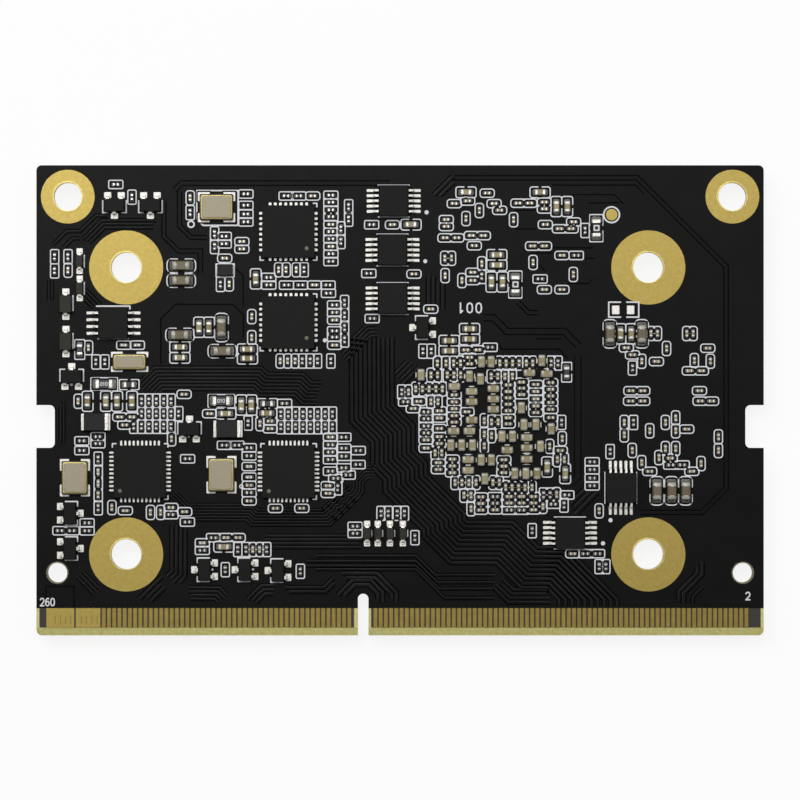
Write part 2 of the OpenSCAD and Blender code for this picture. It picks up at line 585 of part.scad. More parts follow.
// Ring of solder balls under the edge of a package
module ball_ring(l, w) {
    nx = floor((l - ball_pitch) / ball_pitch);
    ny = floor((w - ball_pitch) / ball_pitch);
    for (i = [0 : nx], j = [0 : ny])
        if (i == 0 || j == 0 || i == nx || j == ny)
            translate([(i - nx / 2) * ball_pitch, (j - ny / 2) * ball_pitch, 0])
                cylinder(d = ball_d, h = ball_h);
}

module board_outline() {
    difference() {
        round_rect(board_len, board_wid, board_r);
        for (u = [-1, 1])
            translate([u * board_len / 2, edge_y + notch_y]) round_rect(2 * notch_d, notch_w, notch_r);
        translate([slot_x, edge_y + slot_d - slot_w / 2]) circle(d = slot_w);
        translate([slot_x - slot_w / 2, edge_y - past]) square([slot_w, slot_d - slot_w / 2 + past]);
        for (p = guide_holes) translate(p) circle(d = guide_hole);
    }
}

// Wedge milled off one face along the contact edge, for the face at height z, up is 1 or -1
module bevel_cut(z, up) {
    translate([-board_len / 2 - past, edge_y, z]) rotate([90, 0, 90]) linear_extrude(board_len + 2 * past)
        polygon([[-past, up * past], [bevel_len, up * past], [bevel_len, 0], [0, -up * bevel_d],
            [-past, -up * bevel_d]]);
}

module board_laminate() color([0.32, 0.27, 0.17]) difference() {
    translate([0, 0, z_lam]) linear_extrude(laminate_t) difference() {
        board_outline();
        for (p = sink_holes) translate(p) circle(d = sink_hole + 2 * plating_t);
        for (p = corner_holes) translate(p) circle(d = corner_hole + 2 * plating_t);
    }
    bevel_cut(z_lam_top, 1);
    bevel_cut(z_lam, -1);
}

module mask_sheet() linear_extrude(mask_t) difference() {
    board_outline();
    for (p = sink_holes) translate(p) circle(d = sink_land);
    for (p = corner_holes) translate(p) circle(d = corner_land);
    translate([-board_len / 2 - past, edge_y - past]) square([board_len + 2 * past, contact_zone + past]);
}

module solder_mask_top() color(ink_black) translate([0, 0, z_lam_top]) difference() {
    mask_sheet();
    at(target_place) translate([0, 0, -past]) cylinder(d = target_d, h = 2 * past);
}

module solder_mask_underside() color(ink_black) translate([0, 0, z_under]) mask_sheet();

// One face of gold contacts: single fingers, and two supply blocks at the outer end of the short side
module contact_face() {
    contact_l = contact_zone - bevel_len;
    short_end = slot_x - slot_gap_short;
    for (i = [0 : contacts_long - 1])
        translate([slot_x + slot_gap_long + i * contact_pitch - contact_w / 2, edge_y + bevel_len, 0])
            cube([contact_w, contact_l, mask_t]);
    for (i = [0 : contacts_short - 2 * block_n - 1])
        translate([short_end - i * contact_pitch - contact_w / 2, edge_y + bevel_len, 0])
            cube([contact_w, contact_l, mask_t]);
    for (b = [1, 2])
        translate([short_end - (contacts_short - 1 - (b - 1) * block_n) * contact_pitch - contact_w / 2,
            edge_y + bevel_len, 0])
            cube([(block_n - 1) * contact_pitch + contact_w, contact_l, mask_t]);
}

module edge_contacts_top() color(gold) translate([0, 0, z_lam_top]) contact_face();

module edge_contacts_underside() color(gold) translate([0, 0, z_under]) contact_face();

// Plated hole: a barrel through the laminate with a round land on each face
module plated_hole(hole, land) {
    translate([0, 0, z_under]) rotate_extrude() {
        translate([hole / 2, 0]) square([plating_t, z_top - z_under]);
        translate([hole / 2, 0]) square([(land - hole) / 2, mask_t]);
        translate([hole / 2, z_top - z_under - mask_t]) square([(land - hole) / 2, mask_t]);
    }
}

module heatsink_hole_plating() color(gold)
    for (p = sink_holes) translate(p) plated_hole(sink_hole, sink_land);

module corner_hole_plating() color(gold)
    for (p = corner_holes) translate(p) plated_hole(corner_hole, corner_land);

module alignment_target() color(gold)
    at(target_place) translate([0, 0, z_lam_top]) cylinder(d = target_d, h = mask_t);

module power_manager_1() color(mould_black) on_top() at(quad32_places[0]) quad_body(quad_side, quad_h);

module power_manager_2() color(mould_black) on_top() at(quad32_places[1]) quad_body(quad_side, quad_h);

module power_manager_terminals() color(tin) on_top()
    for (p = quad32_places) at(p) quad_terminals(quad_side, 8, quad32_pitch, quad32_lead, quad32_out);

module transceiver_1() color(mould_black) on_top() at(quad40_places[0]) quad_body(quad_side, quad_h);

module transceiver_2() color(mould_black) on_top() at(quad40_places[1]) quad_body(quad_side, quad_h);

module transceiver_terminals() color(tin) on_top()
    for (p = quad40_places) at(p) quad_terminals(quad_side, 10, quad40_pitch, quad40_lead, quad40_out);

// Leaded flat package: the body clears the board by the lead's stand-off
flat_gap = 0.1;
flat_exit = flat_gap + flat_h / 2;

module flat_body() {
    translate([0, 0, solder_t + flat_gap]) moulded(flat_w, flat_l, flat_h);
}

module flat_leads(per_side, pitch) {
    translate([0, 0, solder_t]) both_ends(flat_w / 2) in_row(per_side, pitch)
        gull_wing(flat_lead, flat_exit, flat_run, flat_foot);
}

module supervisor_body() color(mould_black) on_top() at(flat8_place) flat_body();

module supervisor_leads() color(tin) on_top() at(flat8_place) flat_leads(4, flat8_pitch);

module regulator_bodies() color(mould_black) on_top() for (p = flat10_places) at(p) flat_body();

module regulator_leads() color(tin) on_top() for (p = flat10_places) at(p) flat_leads(5, flat10_pitch);

// Transistor lead geometry, shared by the leads and their solder
tran_run = 0.22;
tran_foot = 0.24;
tran_exit = flat_gap + tran_h / 2;

// Children at each of a transistor's three leads, pointing outwards along +X
module tran_ways() {
    rotate(90) translate([tran_w / 2, 0, 0]) children();
    rotate(270) translate([tran_w / 2, 0, 0]) in_row(2, tran_pitch) children();
}

module transistor_bodies() color(mould_black) on_top() for (p = tran_places)
    at(p) translate([0, 0, solder_t + flat_gap]) moulded(tran_l, tran_w, tran_h);

module transistor_leads() color(tin) on_top() for (p = tran_places)
    at(p) tran_ways() translate([0, 0, solder_t]) gull_wing(tran_lead, tran_exit, tran_run, tran_foot);

module diode_bodies() color(mould_black) on_top() {
    for (p = diode_places) at(p) translate([0, 0, solder_t + flat_gap]) moulded(diode_l, diode_w, diode_h);
    for (p = diode_s_places) at(p)
        translate([0, 0, solder_t + flat_gap]) moulded(diode_s_l, diode_s_w, diode_s_h);
}

module diode_leads() color(tin) on_top() translate([0, 0, solder_t]) {
    for (p = diode_places) at(p) both_ends(diode_l / 2)
        gull_wing(tran_lead, flat_gap + diode_h / 2, tran_run, tran_foot);
    for (p = diode_s_places) at(p) both_ends(diode_s_l / 2)
        gull_wing(tran_lead, flat_gap + diode_s_h / 2, tran_run, tran_foot);
}

module can_base(w) {
    translate([0, 0, solder_t]) block(xtal_l, w, xtal_base_h);
}

module can_lid(w) {
    translate([0, 0, solder_t + xtal_base_h]) linear_extrude(xtal_lid_h)
        round_rect(xtal_l - 2 * xtal_ledge, w - 2 * xtal_ledge, xtal_r);
}

module crystal_bases() color([0.72, 0.68, 0.58]) {
    on_top() for (p = xtal_places) at(p) can_base(xtal_w);
    on_underside() at(under_xtal_place) can_base(xtal_w);
}

module crystal_lids() color([0.66, 0.62, 0.54]) {
    on_top() for (p = xtal_places) at(p) can_lid(xtal_w);
    on_underside() at(under_xtal_place) can_lid(xtal_w);
}

module clock_crystal_base() color([0.72, 0.68, 0.58]) on_top() at(clock_place) can_base(clock_w);

module clock_crystal_lid() color([0.66, 0.62, 0.54]) on_top() at(clock_place) can_lid(clock_w);

module choke_cores() color(mould_black) on_top() for (p = choke_places)
    at(p) translate([0, 0, solder_t]) block(choke_l, choke_w, choke_h);

module choke_terminals() color(tin) on_top() for (p = choke_places)
    at(p) both_ends(choke_l / 2 + choke_band / 2) translate([0, 0, solder_t])
        block(choke_band, choke_w, choke_cap_h);

module filter_body() color(mould_black) on_top() at(filter_place)
    translate([0, 0, solder_t]) block(filter_size[0], filter_size[1], filter_size[2]);

module bead_bodies() color([0.2, 0.2, 0.2]) on_top()
    chip_bodies(bead_places, large_l, large_w, large_res_h, large_band);

module bead_ends() color(tin) on_top() chip_ends(bead_places, large_l, large_w, large_res_h, large_band);

module small_capacitors() color(tan_ceramic) on_top()
    chip_bodies(small_caps, small_l, small_w, small_h, small_band, 0);

module small_capacitor_ends() color(tin) on_top()
    chip_soldered_ends(concat(small_caps, load_caps), small_l, small_w, small_h, small_band, small_out);

module load_capacitors() color([0.7, 0.7, 0.68]) on_top()
    chip_bodies(load_caps, small_l, small_w, small_h, small_band, 0);

module small_resistors() color(mould_black) on_top()
    chip_bodies(small_res, small_l, small_w, small_h, small_band, 0);

module small_resistor_ends() color(tin) on_top()
    chip_soldered_ends(small_res, small_l, small_w, small_h, small_band, small_out);

module medium_capacitors() color(tan_ceramic) on_top()
    chip_bodies(medium_caps, medium_l, medium_w, medium_h, medium_band);

module medium_capacitor_ends() color(tin) on_top()
    chip_ends(medium_caps, medium_l, medium_w, medium_h, medium_band);

module medium_resistors() color(mould_black) on_top()
    chip_bodies(medium_res, medium_l, medium_w, medium_res_h, medium_band);

module medium_resistor_ends() color(tin) on_top()
    chip_ends(medium_res, medium_l, medium_w, medium_res_h, medium_band);

module block_capacitors() color(tan_ceramic) on_top()
    chip_bodies(block_caps, block_l, block_w, block_h, block_band);

module block_capacitor_ends() color(tin) on_top()
    chip_ends(block_caps, block_l, block_w, block_h, block_band);

module large_capacitors() color(tan_ceramic) on_top()
    chip_bodies(large_caps, large_l, large_w, large_h, large_band);

module large_capacitor_ends() color(tin) on_top()
    chip_ends(large_caps, large_l, large_w, large_h, large_band);

module large_resistors() color(mould_black) on_top()
    chip_bodies(large_res_places, large_l, large_w, large_res_h, large_band);

module large_resistor_ends() color(tin) on_top()
    chip_ends(large_res_places, large_l, large_w, large_res_h, large_band);

module chip_solder_joints() color(tin) on_top() {
    chip_solder(medium_caps, medium_l, medium_w, medium_h, medium_band, medium_out);
    chip_solder(medium_res, medium_l, medium_w, medium_res_h, medium_band, medium_out);
    chip_solder(block_caps, block_l, block_w, block_h, block_band, block_out);
    chip_solder(large_caps, large_l, large_w, large_h, large_band, large_out);
    chip_solder(concat(large_res_places, bead_places), large_l, large_w, large_res_h, large_band, large_out);
}

// Flat tinned land under a lead's foot, from the bend outwards past the toe
module foot_land(width, run, foot, out) {
    translate([run - lead_t, -width / 2, 0]) cube([lead_t + foot + out, width, solder_t]);
}

// Lands under the corners of a crystal, and out past its long sides and ends
module can_lands(w) {
    land = [xtal_land_share * xtal_l, xtal_land_share * w];
    for (u = [-1, 1], v = [-1, 1])
        translate([u * (xtal_l / 2 + xtal_out - land[0] / 2), v * (w / 2 + xtal_out - land[1] / 2), 0])
            block(land[0], land[1], solder_t);
}

module lead_solder() color(tin) on_top() {
    at(flat8_place) both_ends(flat_w / 2) in_row(4, flat8_pitch)
        foot_land(flat_land, flat_run, flat_foot, land_out);
    for (p = flat10_places) at(p) both_ends(flat_w / 2) in_row(5, flat10_pitch)
        foot_land(flat_land, flat_run, flat_foot, land_out);
    for (p = tran_places) at(p) tran_ways() foot_land(tran_land, tran_run, tran_foot, land_out);
    for (p = diode_places) at(p) both_ends(diode_l / 2) foot_land(tran_land, tran_run, tran_foot, land_out);
    for (p = diode_s_places) at(p) both_ends(diode_s_l / 2)
        foot_land(diode_land, tran_run, tran_foot, land_out);
    for (p = xtal_places) at(p) can_lands(xtal_w);
    at(clock_place) can_lands(clock_w);
    for (p = choke_places) at(p) both_ends(choke_l / 2 + choke_band)
        solder_joint(choke_w, choke_band, land_out, solder_t + fillet_share * choke_cap_h);
    at(filter_place) both_ends(filter_size[0] / 2)
        solder_joint(filter_land[0], filter_land[1], filter_land[2], solder_rise);
    at(bare_place) both_ends(bare_gap / 2) block(bare_land[0], bare_land[1], solder_t);
}

module ball_package(l, w, h) {
    translate([0, 0, ball_h]) block(l, w, h);
}

module processor_substrate() color([0.12, 0.2, 0.14]) on_underside()
    at(soc_place) ball_package(soc_side, soc_side, soc_h);

module processor_lid() color([0.7, 0.7, 0.72]) on_underside() at(soc_place)
    translate([0, 0, ball_h + soc_h]) linear_extrude(soc_lid_h)
        round_rect(soc_side - 2 * soc_ledge, soc_side - 2 * soc_ledge, soc_lid_r);

module processor_balls() color(tin) on_underside() at(soc_place) ball_ring(soc_side, soc_side);

module memory_packages() color(mould_black) on_underside()
    for (p = memory_places) at(p) ball_package(memory_l, memory_w, memory_h);

module flash_package() color(mould_black) on_underside()
    at(flash_place) ball_package(flash_l, flash_w, memory_h);

module package_balls() color(tin) on_underside() {
    for (p = memory_places) at(p) ball_ring(memory_l, memory_w);
    at(flash_place) ball_ring(flash_l, flash_w);
}

module power_controller() color(mould_black) on_underside() at(power_place) quad_body(power_side, quad_h);

module power_controller_terminals() color(tin) on_underside() at(power_place)
    quad_terminals(power_side, 14, power_pitch, quad32_lead, quad32_out);

module power_chokes() color([0.22, 0.22, 0.22]) on_underside() for (p = pchoke_places)
    at(p) translate([0, 0, solder_t]) linear_extrude(pchoke_h) round_rect(pchoke_side, pchoke_side, pchoke_r);

module underside_capacitors() color(tan_ceramic) on_underside() {
    chip_bodies(bulk_places, bulk_l, bulk_w, bulk_h, bulk_band);
    chip_bodies(under_caps, medium_l, medium_w, medium_h, medium_band);
}

module underside_capacitor_ends() color(tin) on_underside() {
    chip_ends(bulk_places, bulk_l, bulk_w, bulk_h, bulk_band);
    chip_ends(under_caps, medium_l, medium_w, medium_h, medium_band);
}

module underside_solder() color(tin) on_underside() {
    chip_solder(bulk_places, bulk_l, bulk_w, bulk_h, bulk_band, bulk_out);
    chip_solder(under_caps, medium_l, medium_w, medium_h, medium_band, medium_out);
    for (p = pchoke_places) at(p) both_ends(pchoke_side / 2)
        solder_joint(pchoke_land, pchoke_under, bulk_out, solder_rise);
    at(under_xtal_place) can_lands(xtal_w);
}

board_laminate();
solder_mask_top();
solder_mask_underside();
edge_contacts_top();
edge_contacts_underside();
heatsink_hole_plating();
corner_hole_plating();
alignment_target();
power_manager_1();
power_manager_2();
power_manager_terminals();
transceiver_1();
transceiver_2();
transceiver_terminals();
supervisor_body();
supervisor_leads();
regulator_bodies();
regulator_leads();
transistor_bodies();
transistor_leads();
diode_bodies();
diode_leads();
crystal_bases();
crystal_lids();
clock_crystal_base();
clock_crystal_lid();
choke_cores();
choke_terminals();
filter_body();
bead_bodies();
bead_ends();
small_capacitors();
small_capacitor_ends();
load_capacitors();
small_resistors();
small_resistor_ends();
medium_capacitors();
medium_capacitor_ends();
medium_resistors();
medium_resistor_ends();
block_capacitors();
block_capacitor_ends();
large_capacitors();
large_capacitor_ends();
large_resistors();
large_resistor_ends();
chip_solder_joints();
lead_solder();
processor_substrate();
processor_lid();
processor_balls();
memory_packages();
flash_package();
package_balls();
power_controller();
power_controller_terminals();
power_chokes();
underside_capacitors();
underside_capacitor_ends();
underside_solder();
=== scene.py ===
"""Looks of a system on module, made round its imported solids.

The board, its gold contacts, the plated holes and the solder underneath keep their solids. The chips, leads,
packages, cans and the solder on top are rebuilt with rounded edges where the solids stand. The printed legend
and the raised conductors under the mask are worked out here. Lengths are millimetres until a piece is put
into the scene.
"""
import math

import bmesh
import bpy
import numpy as np
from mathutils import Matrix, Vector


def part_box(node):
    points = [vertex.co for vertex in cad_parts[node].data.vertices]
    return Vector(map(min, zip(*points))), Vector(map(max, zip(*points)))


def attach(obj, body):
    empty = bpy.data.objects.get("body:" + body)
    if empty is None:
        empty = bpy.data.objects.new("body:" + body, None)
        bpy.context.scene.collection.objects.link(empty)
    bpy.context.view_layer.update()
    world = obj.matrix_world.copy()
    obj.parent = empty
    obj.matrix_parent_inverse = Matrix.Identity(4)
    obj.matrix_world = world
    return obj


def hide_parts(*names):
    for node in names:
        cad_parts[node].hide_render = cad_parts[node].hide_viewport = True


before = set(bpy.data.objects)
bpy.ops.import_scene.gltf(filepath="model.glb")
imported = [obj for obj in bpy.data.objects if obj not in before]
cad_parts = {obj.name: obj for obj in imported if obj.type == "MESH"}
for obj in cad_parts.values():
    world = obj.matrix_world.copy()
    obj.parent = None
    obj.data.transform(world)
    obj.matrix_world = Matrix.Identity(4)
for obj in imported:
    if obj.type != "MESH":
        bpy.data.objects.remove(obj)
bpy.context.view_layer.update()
MM = 0.001
BOARD_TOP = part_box("solder_mask_top")[1].z / MM
BOARD_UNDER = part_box("solder_mask_underside")[0].z / MM
BOARD_LOW, BOARD_HIGH = (np.array(corner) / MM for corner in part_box("board_laminate"))
SLOT_MIDDLE, SLOT_HALF = -3.585, 0.55
STRIP_EDGE = -19.88
GUIDE_X, GUIDE_Y = BOARD_HIGH[0] - 2.0, BOARD_LOW[1] + 6.0
SHARP_EDGE = math.radians(38)
rng = np.random.default_rng(7)


# Materials

def node_material(name):
    """A new material with its node tree, its main shader and its Object coordinates."""
    material = bpy.data.materials.new(name)
    material.use_nodes = True
    tree = material.node_tree
    shader = tree.nodes["Principled BSDF"]
    coordinates = tree.nodes.new("ShaderNodeTexCoord").outputs["Object"]
    return material, tree, shader, coordinates


def noise(tree, coordinates, size):
    """Cloudy noise whose blobs are about size millimetres across."""
    texture = tree.nodes.new("ShaderNodeTexNoise")
    texture.inputs["Scale"].default_value = 1 / (size * MM)
    texture.inputs["Detail"].default_value = 3.0
    texture.inputs["Roughness"].default_value = 0.55
    tree.links.new(coordinates, texture.inputs["Vector"])
    return texture.outputs["Fac"]


def ramp(tree, value, stops):
    """Colours or greys set against a value: stops are (place, colour) pairs."""
    node = tree.nodes.new("ShaderNodeValToRGB")
    tree.links.new(value, node.inputs["Fac"])
    elements = node.color_ramp.elements
    while len(elements) < len(stops):
        elements.new(0.5)
    for element, (place, colour) in zip(elements, stops):
        element.position = place
        element.color = (*colour, 1)
    return node.outputs["Color"]


def linear(*levels):
    """A colour as seen on a screen, 0 to 255, as the linear light that a shader takes."""
    level = np.array(levels) / 255
    return tuple(np.where(level <= 0.04045, level / 12.92, ((level + 0.055) / 1.055) ** 2.4))


def grey(level):
    """The same level in all three colours."""
    return (level, level, level)


def bump(tree, shader, height, depth):
    """Fine relief of depth millimetres from a height between 0 and 1."""
    node = tree.nodes.new("ShaderNodeBump")
    node.inputs["Distance"].default_value = depth * MM
    node.inputs["Strength"].default_value = 1.0
    tree.links.new(height, node.inputs["Height"])
    tree.links.new(node.outputs["Normal"], shader.inputs["Normal"])


def mottled(name, dark, light, size, rough, metal=0.0, specular=0.5, relief=0.0, grain=0.0, tone=False):
    """A finish that drifts between two screen colours with cloudy noise, or with each piece's own tone.

    Roughness drifts over the range rough, and relief is the depth of a fine grain of the given size.
    """
    material, tree, shader, coordinates = node_material(name)
    cloud = noise(tree, coordinates, size)
    if tone:
        own = tree.nodes.new("ShaderNodeAttribute")
        own.attribute_name = "tone"
        mixed = tree.nodes.new("ShaderNodeMix")
        mixed.inputs["Factor"].default_value = 0.3
        tree.links.new(own.outputs["Fac"], mixed.inputs["A"])
        tree.links.new(cloud, mixed.inputs["B"])
        cloud = mixed.outputs["Result"]
        stops = ((0.12, linear(*dark)), (0.88, linear(*light)))
    else:
        stops = ((0.3, linear(*dark)), (0.7, linear(*light)))
    tree.links.new(ramp(tree, cloud, stops), shader.inputs["Base Color"])
    fine = noise(tree, coordinates, grain or size / 4)
    worn = ramp(tree, fine, ((0.3, grey(rough[0])), (0.7, grey(rough[1]))))
    tree.links.new(worn, shader.inputs["Roughness"])
    shader.inputs["Metallic"].default_value = metal
    shader.inputs["Specular IOR Level"].default_value = specular
    if relief:
        bump(tree, shader, fine, relief)
    return material


LAYER_HEIGHT = 0.09


def laminate_finish():
    """Bare laminate: brown on its face, pale resin and glass on the milled bevel and along the milled sides.

    The pale share is the greatest of four ramps: over the bevel along Y, past each board side along X, and
    within the slot's edges, the last three only in the contact strip. Upright faces show the layers: a wave
    that goes up and down evenly with height sets their colour.
    """
    material, tree, shader, coordinates = node_material("laminate_finish")
    split = tree.nodes.new("ShaderNodeSeparateXYZ")
    tree.links.new(coordinates, split.inputs[0])

    def rise(value, start, stop):
        """A ramp from 0 at start to 1 at stop, both in millimetres."""
        node = tree.nodes.new("ShaderNodeMapRange")
        node.inputs["From Min"].default_value = start * MM
        node.inputs["From Max"].default_value = stop * MM
        tree.links.new(value, node.inputs["Value"])
        return node.outputs["Result"]

    def combine(operation, first, second):
        """One step of arithmetic on two values, or on a value and a plain number."""
        node = tree.nodes.new("ShaderNodeMath")
        node.operation = operation
        for socket, value in zip(node.inputs, (first, second)):
            if isinstance(value, float):
                socket.default_value = value
            else:
                tree.links.new(value, socket)
        return node.outputs["Value"]

    from_middle = combine("ABSOLUTE", split.outputs["X"], 0.0)
    from_slot = combine("ABSOLUTE", combine("SUBTRACT", split.outputs["X"], SLOT_MIDDLE * MM), 0.0)
    sides = combine("MAXIMUM", rise(from_middle, BOARD_HIGH[0] - 0.32, BOARD_HIGH[0] - 0.24),
                    rise(from_slot, SLOT_HALF + 0.30, SLOT_HALF + 0.22))
    in_strip = rise(split.outputs["Y"], STRIP_EDGE + 0.05, STRIP_EDGE - 0.05)
    bevel = rise(split.outputs["Y"], BOARD_LOW[1] + 0.80, BOARD_LOW[1] + 0.70)
    weave = noise(tree, coordinates, 0.35)
    brown = ramp(tree, weave, ((0.3, linear(28, 22, 15)), (0.7, linear(42, 34, 24))))
    pale = ramp(tree, weave, ((0.3, linear(188, 181, 103)), (0.7, linear(210, 203, 140))))
    height = combine("DIVIDE", combine("PINGPONG", split.outputs["Z"], LAYER_HEIGHT * MM), LAYER_HEIGHT * MM)
    layers = ramp(tree, height, ((0.05, linear(84, 72, 44)), (0.25, linear(132, 123, 78)),
                                 (0.9, linear(156, 148, 98))))
    facing = tree.nodes.new("ShaderNodeSeparateXYZ")
    tree.links.new(tree.nodes.new("ShaderNodeNewGeometry").outputs["True Normal"], facing.inputs[0])
    upright = combine("LESS_THAN", combine("ABSOLUTE", facing.outputs["Z"], 0.0), 0.3)

    def mix(share, first, second):
        """The first colour, and the second one by its share."""
        node = tree.nodes.new("ShaderNodeMix")
        node.data_type = "RGBA"
        for socket, value in zip(("Factor", "A", "B"), (share, first, second)):
            tree.links.new(value, node.inputs[socket])
        return node.outputs["Result"]

    plain = mix(upright, brown, layers)
    shown = mix(combine("MAXIMUM", bevel, combine("MULTIPLY", sides, in_strip)), plain, pale)
    tree.links.new(shown, shader.inputs["Base Color"])
    shader.inputs["Roughness"].default_value = 0.6
    bump(tree, shader, weave, 0.01)
    return material


MASK = mottled("mask_finish", (12, 12, 11), (17, 16, 16), 2.5, (0.34, 0.42), specular=0.06,
               relief=0.0012, grain=0.3)
RAISED = mottled("raised_mask_finish", (16, 15, 15), (23, 22, 21), 2.0, (0.34, 0.44), specular=0.08)
CHANNEL = mottled("channel_finish", (2, 2, 2), (5, 5, 5), 2.0, (0.36, 0.44), specular=0.02)
LAMINATE = laminate_finish()
INK = mottled("legend_ink", (208, 210, 214), (222, 224, 227), 0.6, (0.5, 0.62), specular=0.2,
              relief=0.002, grain=0.08)
GOLD = mottled("gold_plate", (144, 126, 65), (154, 136, 73), 0.4, (0.36, 0.52), metal=0.9,
               relief=0.002, grain=0.12)
CONTACT = mottled("contact_gold", (126, 108, 52), (139, 120, 60), 0.8, (0.4, 0.5), metal=0.9,
                  relief=0.001, grain=0.1)
WORN_GOLD = mottled("worn_gold", (118, 99, 48), (132, 112, 55), 0.3, (0.45, 0.55), metal=0.85)
TIN = mottled("bright_tin", (224, 221, 212), (246, 244, 238), 0.3, (0.18, 0.3), metal=0.45,
              relief=0.004, grain=0.12)
DULL = mottled("dull_tin", (150, 147, 136), (178, 175, 165), 0.25, (0.42, 0.55), metal=0.25,
               relief=0.003, grain=0.1)
# Solder grey, darkened for the chip fillets: a painted dark reflection of the board in their hollows. The
# balls and the solder underneath share it.
SOLDER_WITH_PAINTED_REFLECTION = mottled("solder", (168, 165, 154), (192, 190, 182), 0.25, (0.22, 0.34), metal=0.7,
                 relief=0.004, grain=0.1)
WET_TIN = mottled("wet_tin", (230, 228, 219), (248, 247, 242), 0.25, (0.2, 0.3), metal=0.1,
                  relief=0.004, grain=0.1)
LEAD_TIN = mottled("lead_tin", (214, 211, 202), (236, 234, 228), 0.25, (0.36, 0.5), metal=0.2,
                   relief=0.007, grain=0.09)
TAN = mottled("tan_ceramic", (116, 102, 62), (154, 143, 104), 0.3, (0.4, 0.55), relief=0.002, tone=True)
STONE = mottled("stone_ceramic", (121, 108, 64), (153, 145, 110), 0.4, (0.4, 0.55), relief=0.002, tone=True)
PALE = mottled("pale_ceramic", (152, 148, 138), (176, 172, 164), 0.3, (0.4, 0.5), relief=0.002, tone=True)
GREY = mottled("grey_ceramic", (82, 72, 47), (104, 94, 68), 0.4, (0.4, 0.55), relief=0.002, tone=True)
GLAZE = mottled("black_glaze", (17, 17, 17), (29, 28, 27), 0.4, (0.3, 0.42), relief=0.001)
FERRITE = mottled("ferrite", (12, 12, 12), (21, 21, 21), 0.3, (0.55, 0.7), specular=0.3, relief=0.004)
MOULD = mottled("moulded_epoxy", (11, 11, 10), (17, 17, 16), 0.25, (0.5, 0.62), specular=0.13,
                relief=0.004, grain=0.06)
OLIVE = mottled("diode_epoxy", (31, 30, 25), (45, 43, 34), 0.25, (0.5, 0.6), specular=0.2,
                relief=0.004, grain=0.06)
# Bare laminate round the guide holes: its pale colour darkened by painted shade.
BARE_RIM_PAINTED_SHADE = mottled("bare_rim_painted_shade", (104, 99, 74), (124, 118, 92), 0.2, (0.55, 0.65), relief=0.003)
LID = mottled("can_lid", (138, 129, 107), (159, 149, 127), 0.12, (0.42, 0.55), metal=0.2,
              relief=0.004, grain=0.08)
# Bright gold: the can seams' own gold, and on the plated holes' rims a painted highlight of the barrel edge.
SEAM_GOLD_AND_RIM_HIGHLIGHT = mottled("seam_gold_and_rim_highlight", (176, 158, 84), (192, 176, 106), 0.4, (0.34, 0.44), metal=0.5)
BASE = mottled("can_base", (38, 35, 29), (52, 46, 40), 0.4, (0.5, 0.6), relief=0.003)
NICKEL = mottled("nickel_lid", (166, 166, 164), (176, 175, 172), 1.2, (0.32, 0.42), metal=0.9,
                 relief=0.002, grain=0.3)
DOT = mottled("pin_dot", (100, 93, 79), (115, 108, 93), 0.1, (0.5, 0.6), specular=0.3)
SUBSTRATE = mottled("package_substrate", (16, 37, 23), (23, 49, 30), 0.8, (0.4, 0.5), relief=0.002)


# Shapes

def rounded_ring(length, width, radius, steps):
    """Points of a rounded rectangle and their outward directions, anticlockwise.

    At each corner the angle runs over a quarter turn, and radius times (cosine, sine) is added to the
    corner's centre.
    """
    angle = np.linspace(0, np.pi / 2, steps) + np.arange(4)[:, None] * np.pi / 2
    out = np.stack([np.cos(angle), np.sin(angle)], -1)
    signs = np.array([[1, 1], [-1, 1], [-1, -1], [1, -1]])[:, None]
    corner = signs * (np.array([length, width]) / 2 - radius)
    return (corner + radius * out).reshape(-1, 2), out.reshape(-1, 2)


def loft(rings):
    """Closed skin over rings of points: point k of a ring joins point k of the next ring.

    Strips between opposite points close the first and last ring. Faces are turned over if the volume, summed
    over wedges to the origin, comes out negative.
    """
    count, size, _ = rings.shape
    number = np.arange(count * size).reshape(count, size)
    after = np.roll(number, -1, 1)
    sides = np.stack([number[:-1], after[:-1], after[1:], number[1:]], -1).reshape(-1, 4)
    k = np.arange(size // 2 - 1)
    cap = np.stack([k, k + 1, size - 2 - k, size - 1 - k], -1)
    faces = np.concatenate([sides, cap[:, ::-1], cap + (count - 1) * size])
    points = rings.reshape(-1, 3)
    a, b, c, d = (points[faces[:, i]] for i in range(4))
    volume = np.sum(np.cross(a, b) * c) + np.sum(np.cross(a, c) * d)
    return points, faces if volume > 0 else faces[:, ::-1]


def stations(ring, out, along, inset, axes=(0, 1, 2)):
    """Copies of a ring at the places along its axis, each drawn in by its inset.

    The inset goes along the ring's outward directions, and axes says which of X, Y and Z the ring's two
    directions and its axis are.
    """
    flat = ring[None] - np.asarray(inset, float)[:, None, None] * out[None]
    rings = np.empty((len(along), len(ring), 3))
    rings[..., axes[0]] = flat[..., 0]
    rings[..., axes[1]] = flat[..., 1]
    rings[..., axes[2]] = np.asarray(along, float)[:, None]
    return rings


def rounded_block(length, width, height, corner, edge, steps=3, bends=3, draft=0.0):
    """Block on the plane z = 0: a rounded rectangle carried up its walls, then drawn in over the top edge.

    The top edge is a quarter circle of radius edge, with a narrow flat band inside it that keeps the top's
    shading flat. With a draft the walls are widest at mid height.
    """
    ring, out = rounded_ring(length, width, corner, steps)
    turn = np.linspace(0, np.pi / 2, bends)
    heights = np.concatenate([[0, height / 2], height - edge + edge * np.sin(turn), [height]])
    inset = np.concatenate([[draft, 0], draft + edge * (1 - np.cos(turn)), [draft + 1.4 * edge]])
    return loft(stations(ring, out, heights, np.minimum(inset, corner + min(length, width) / 3)))


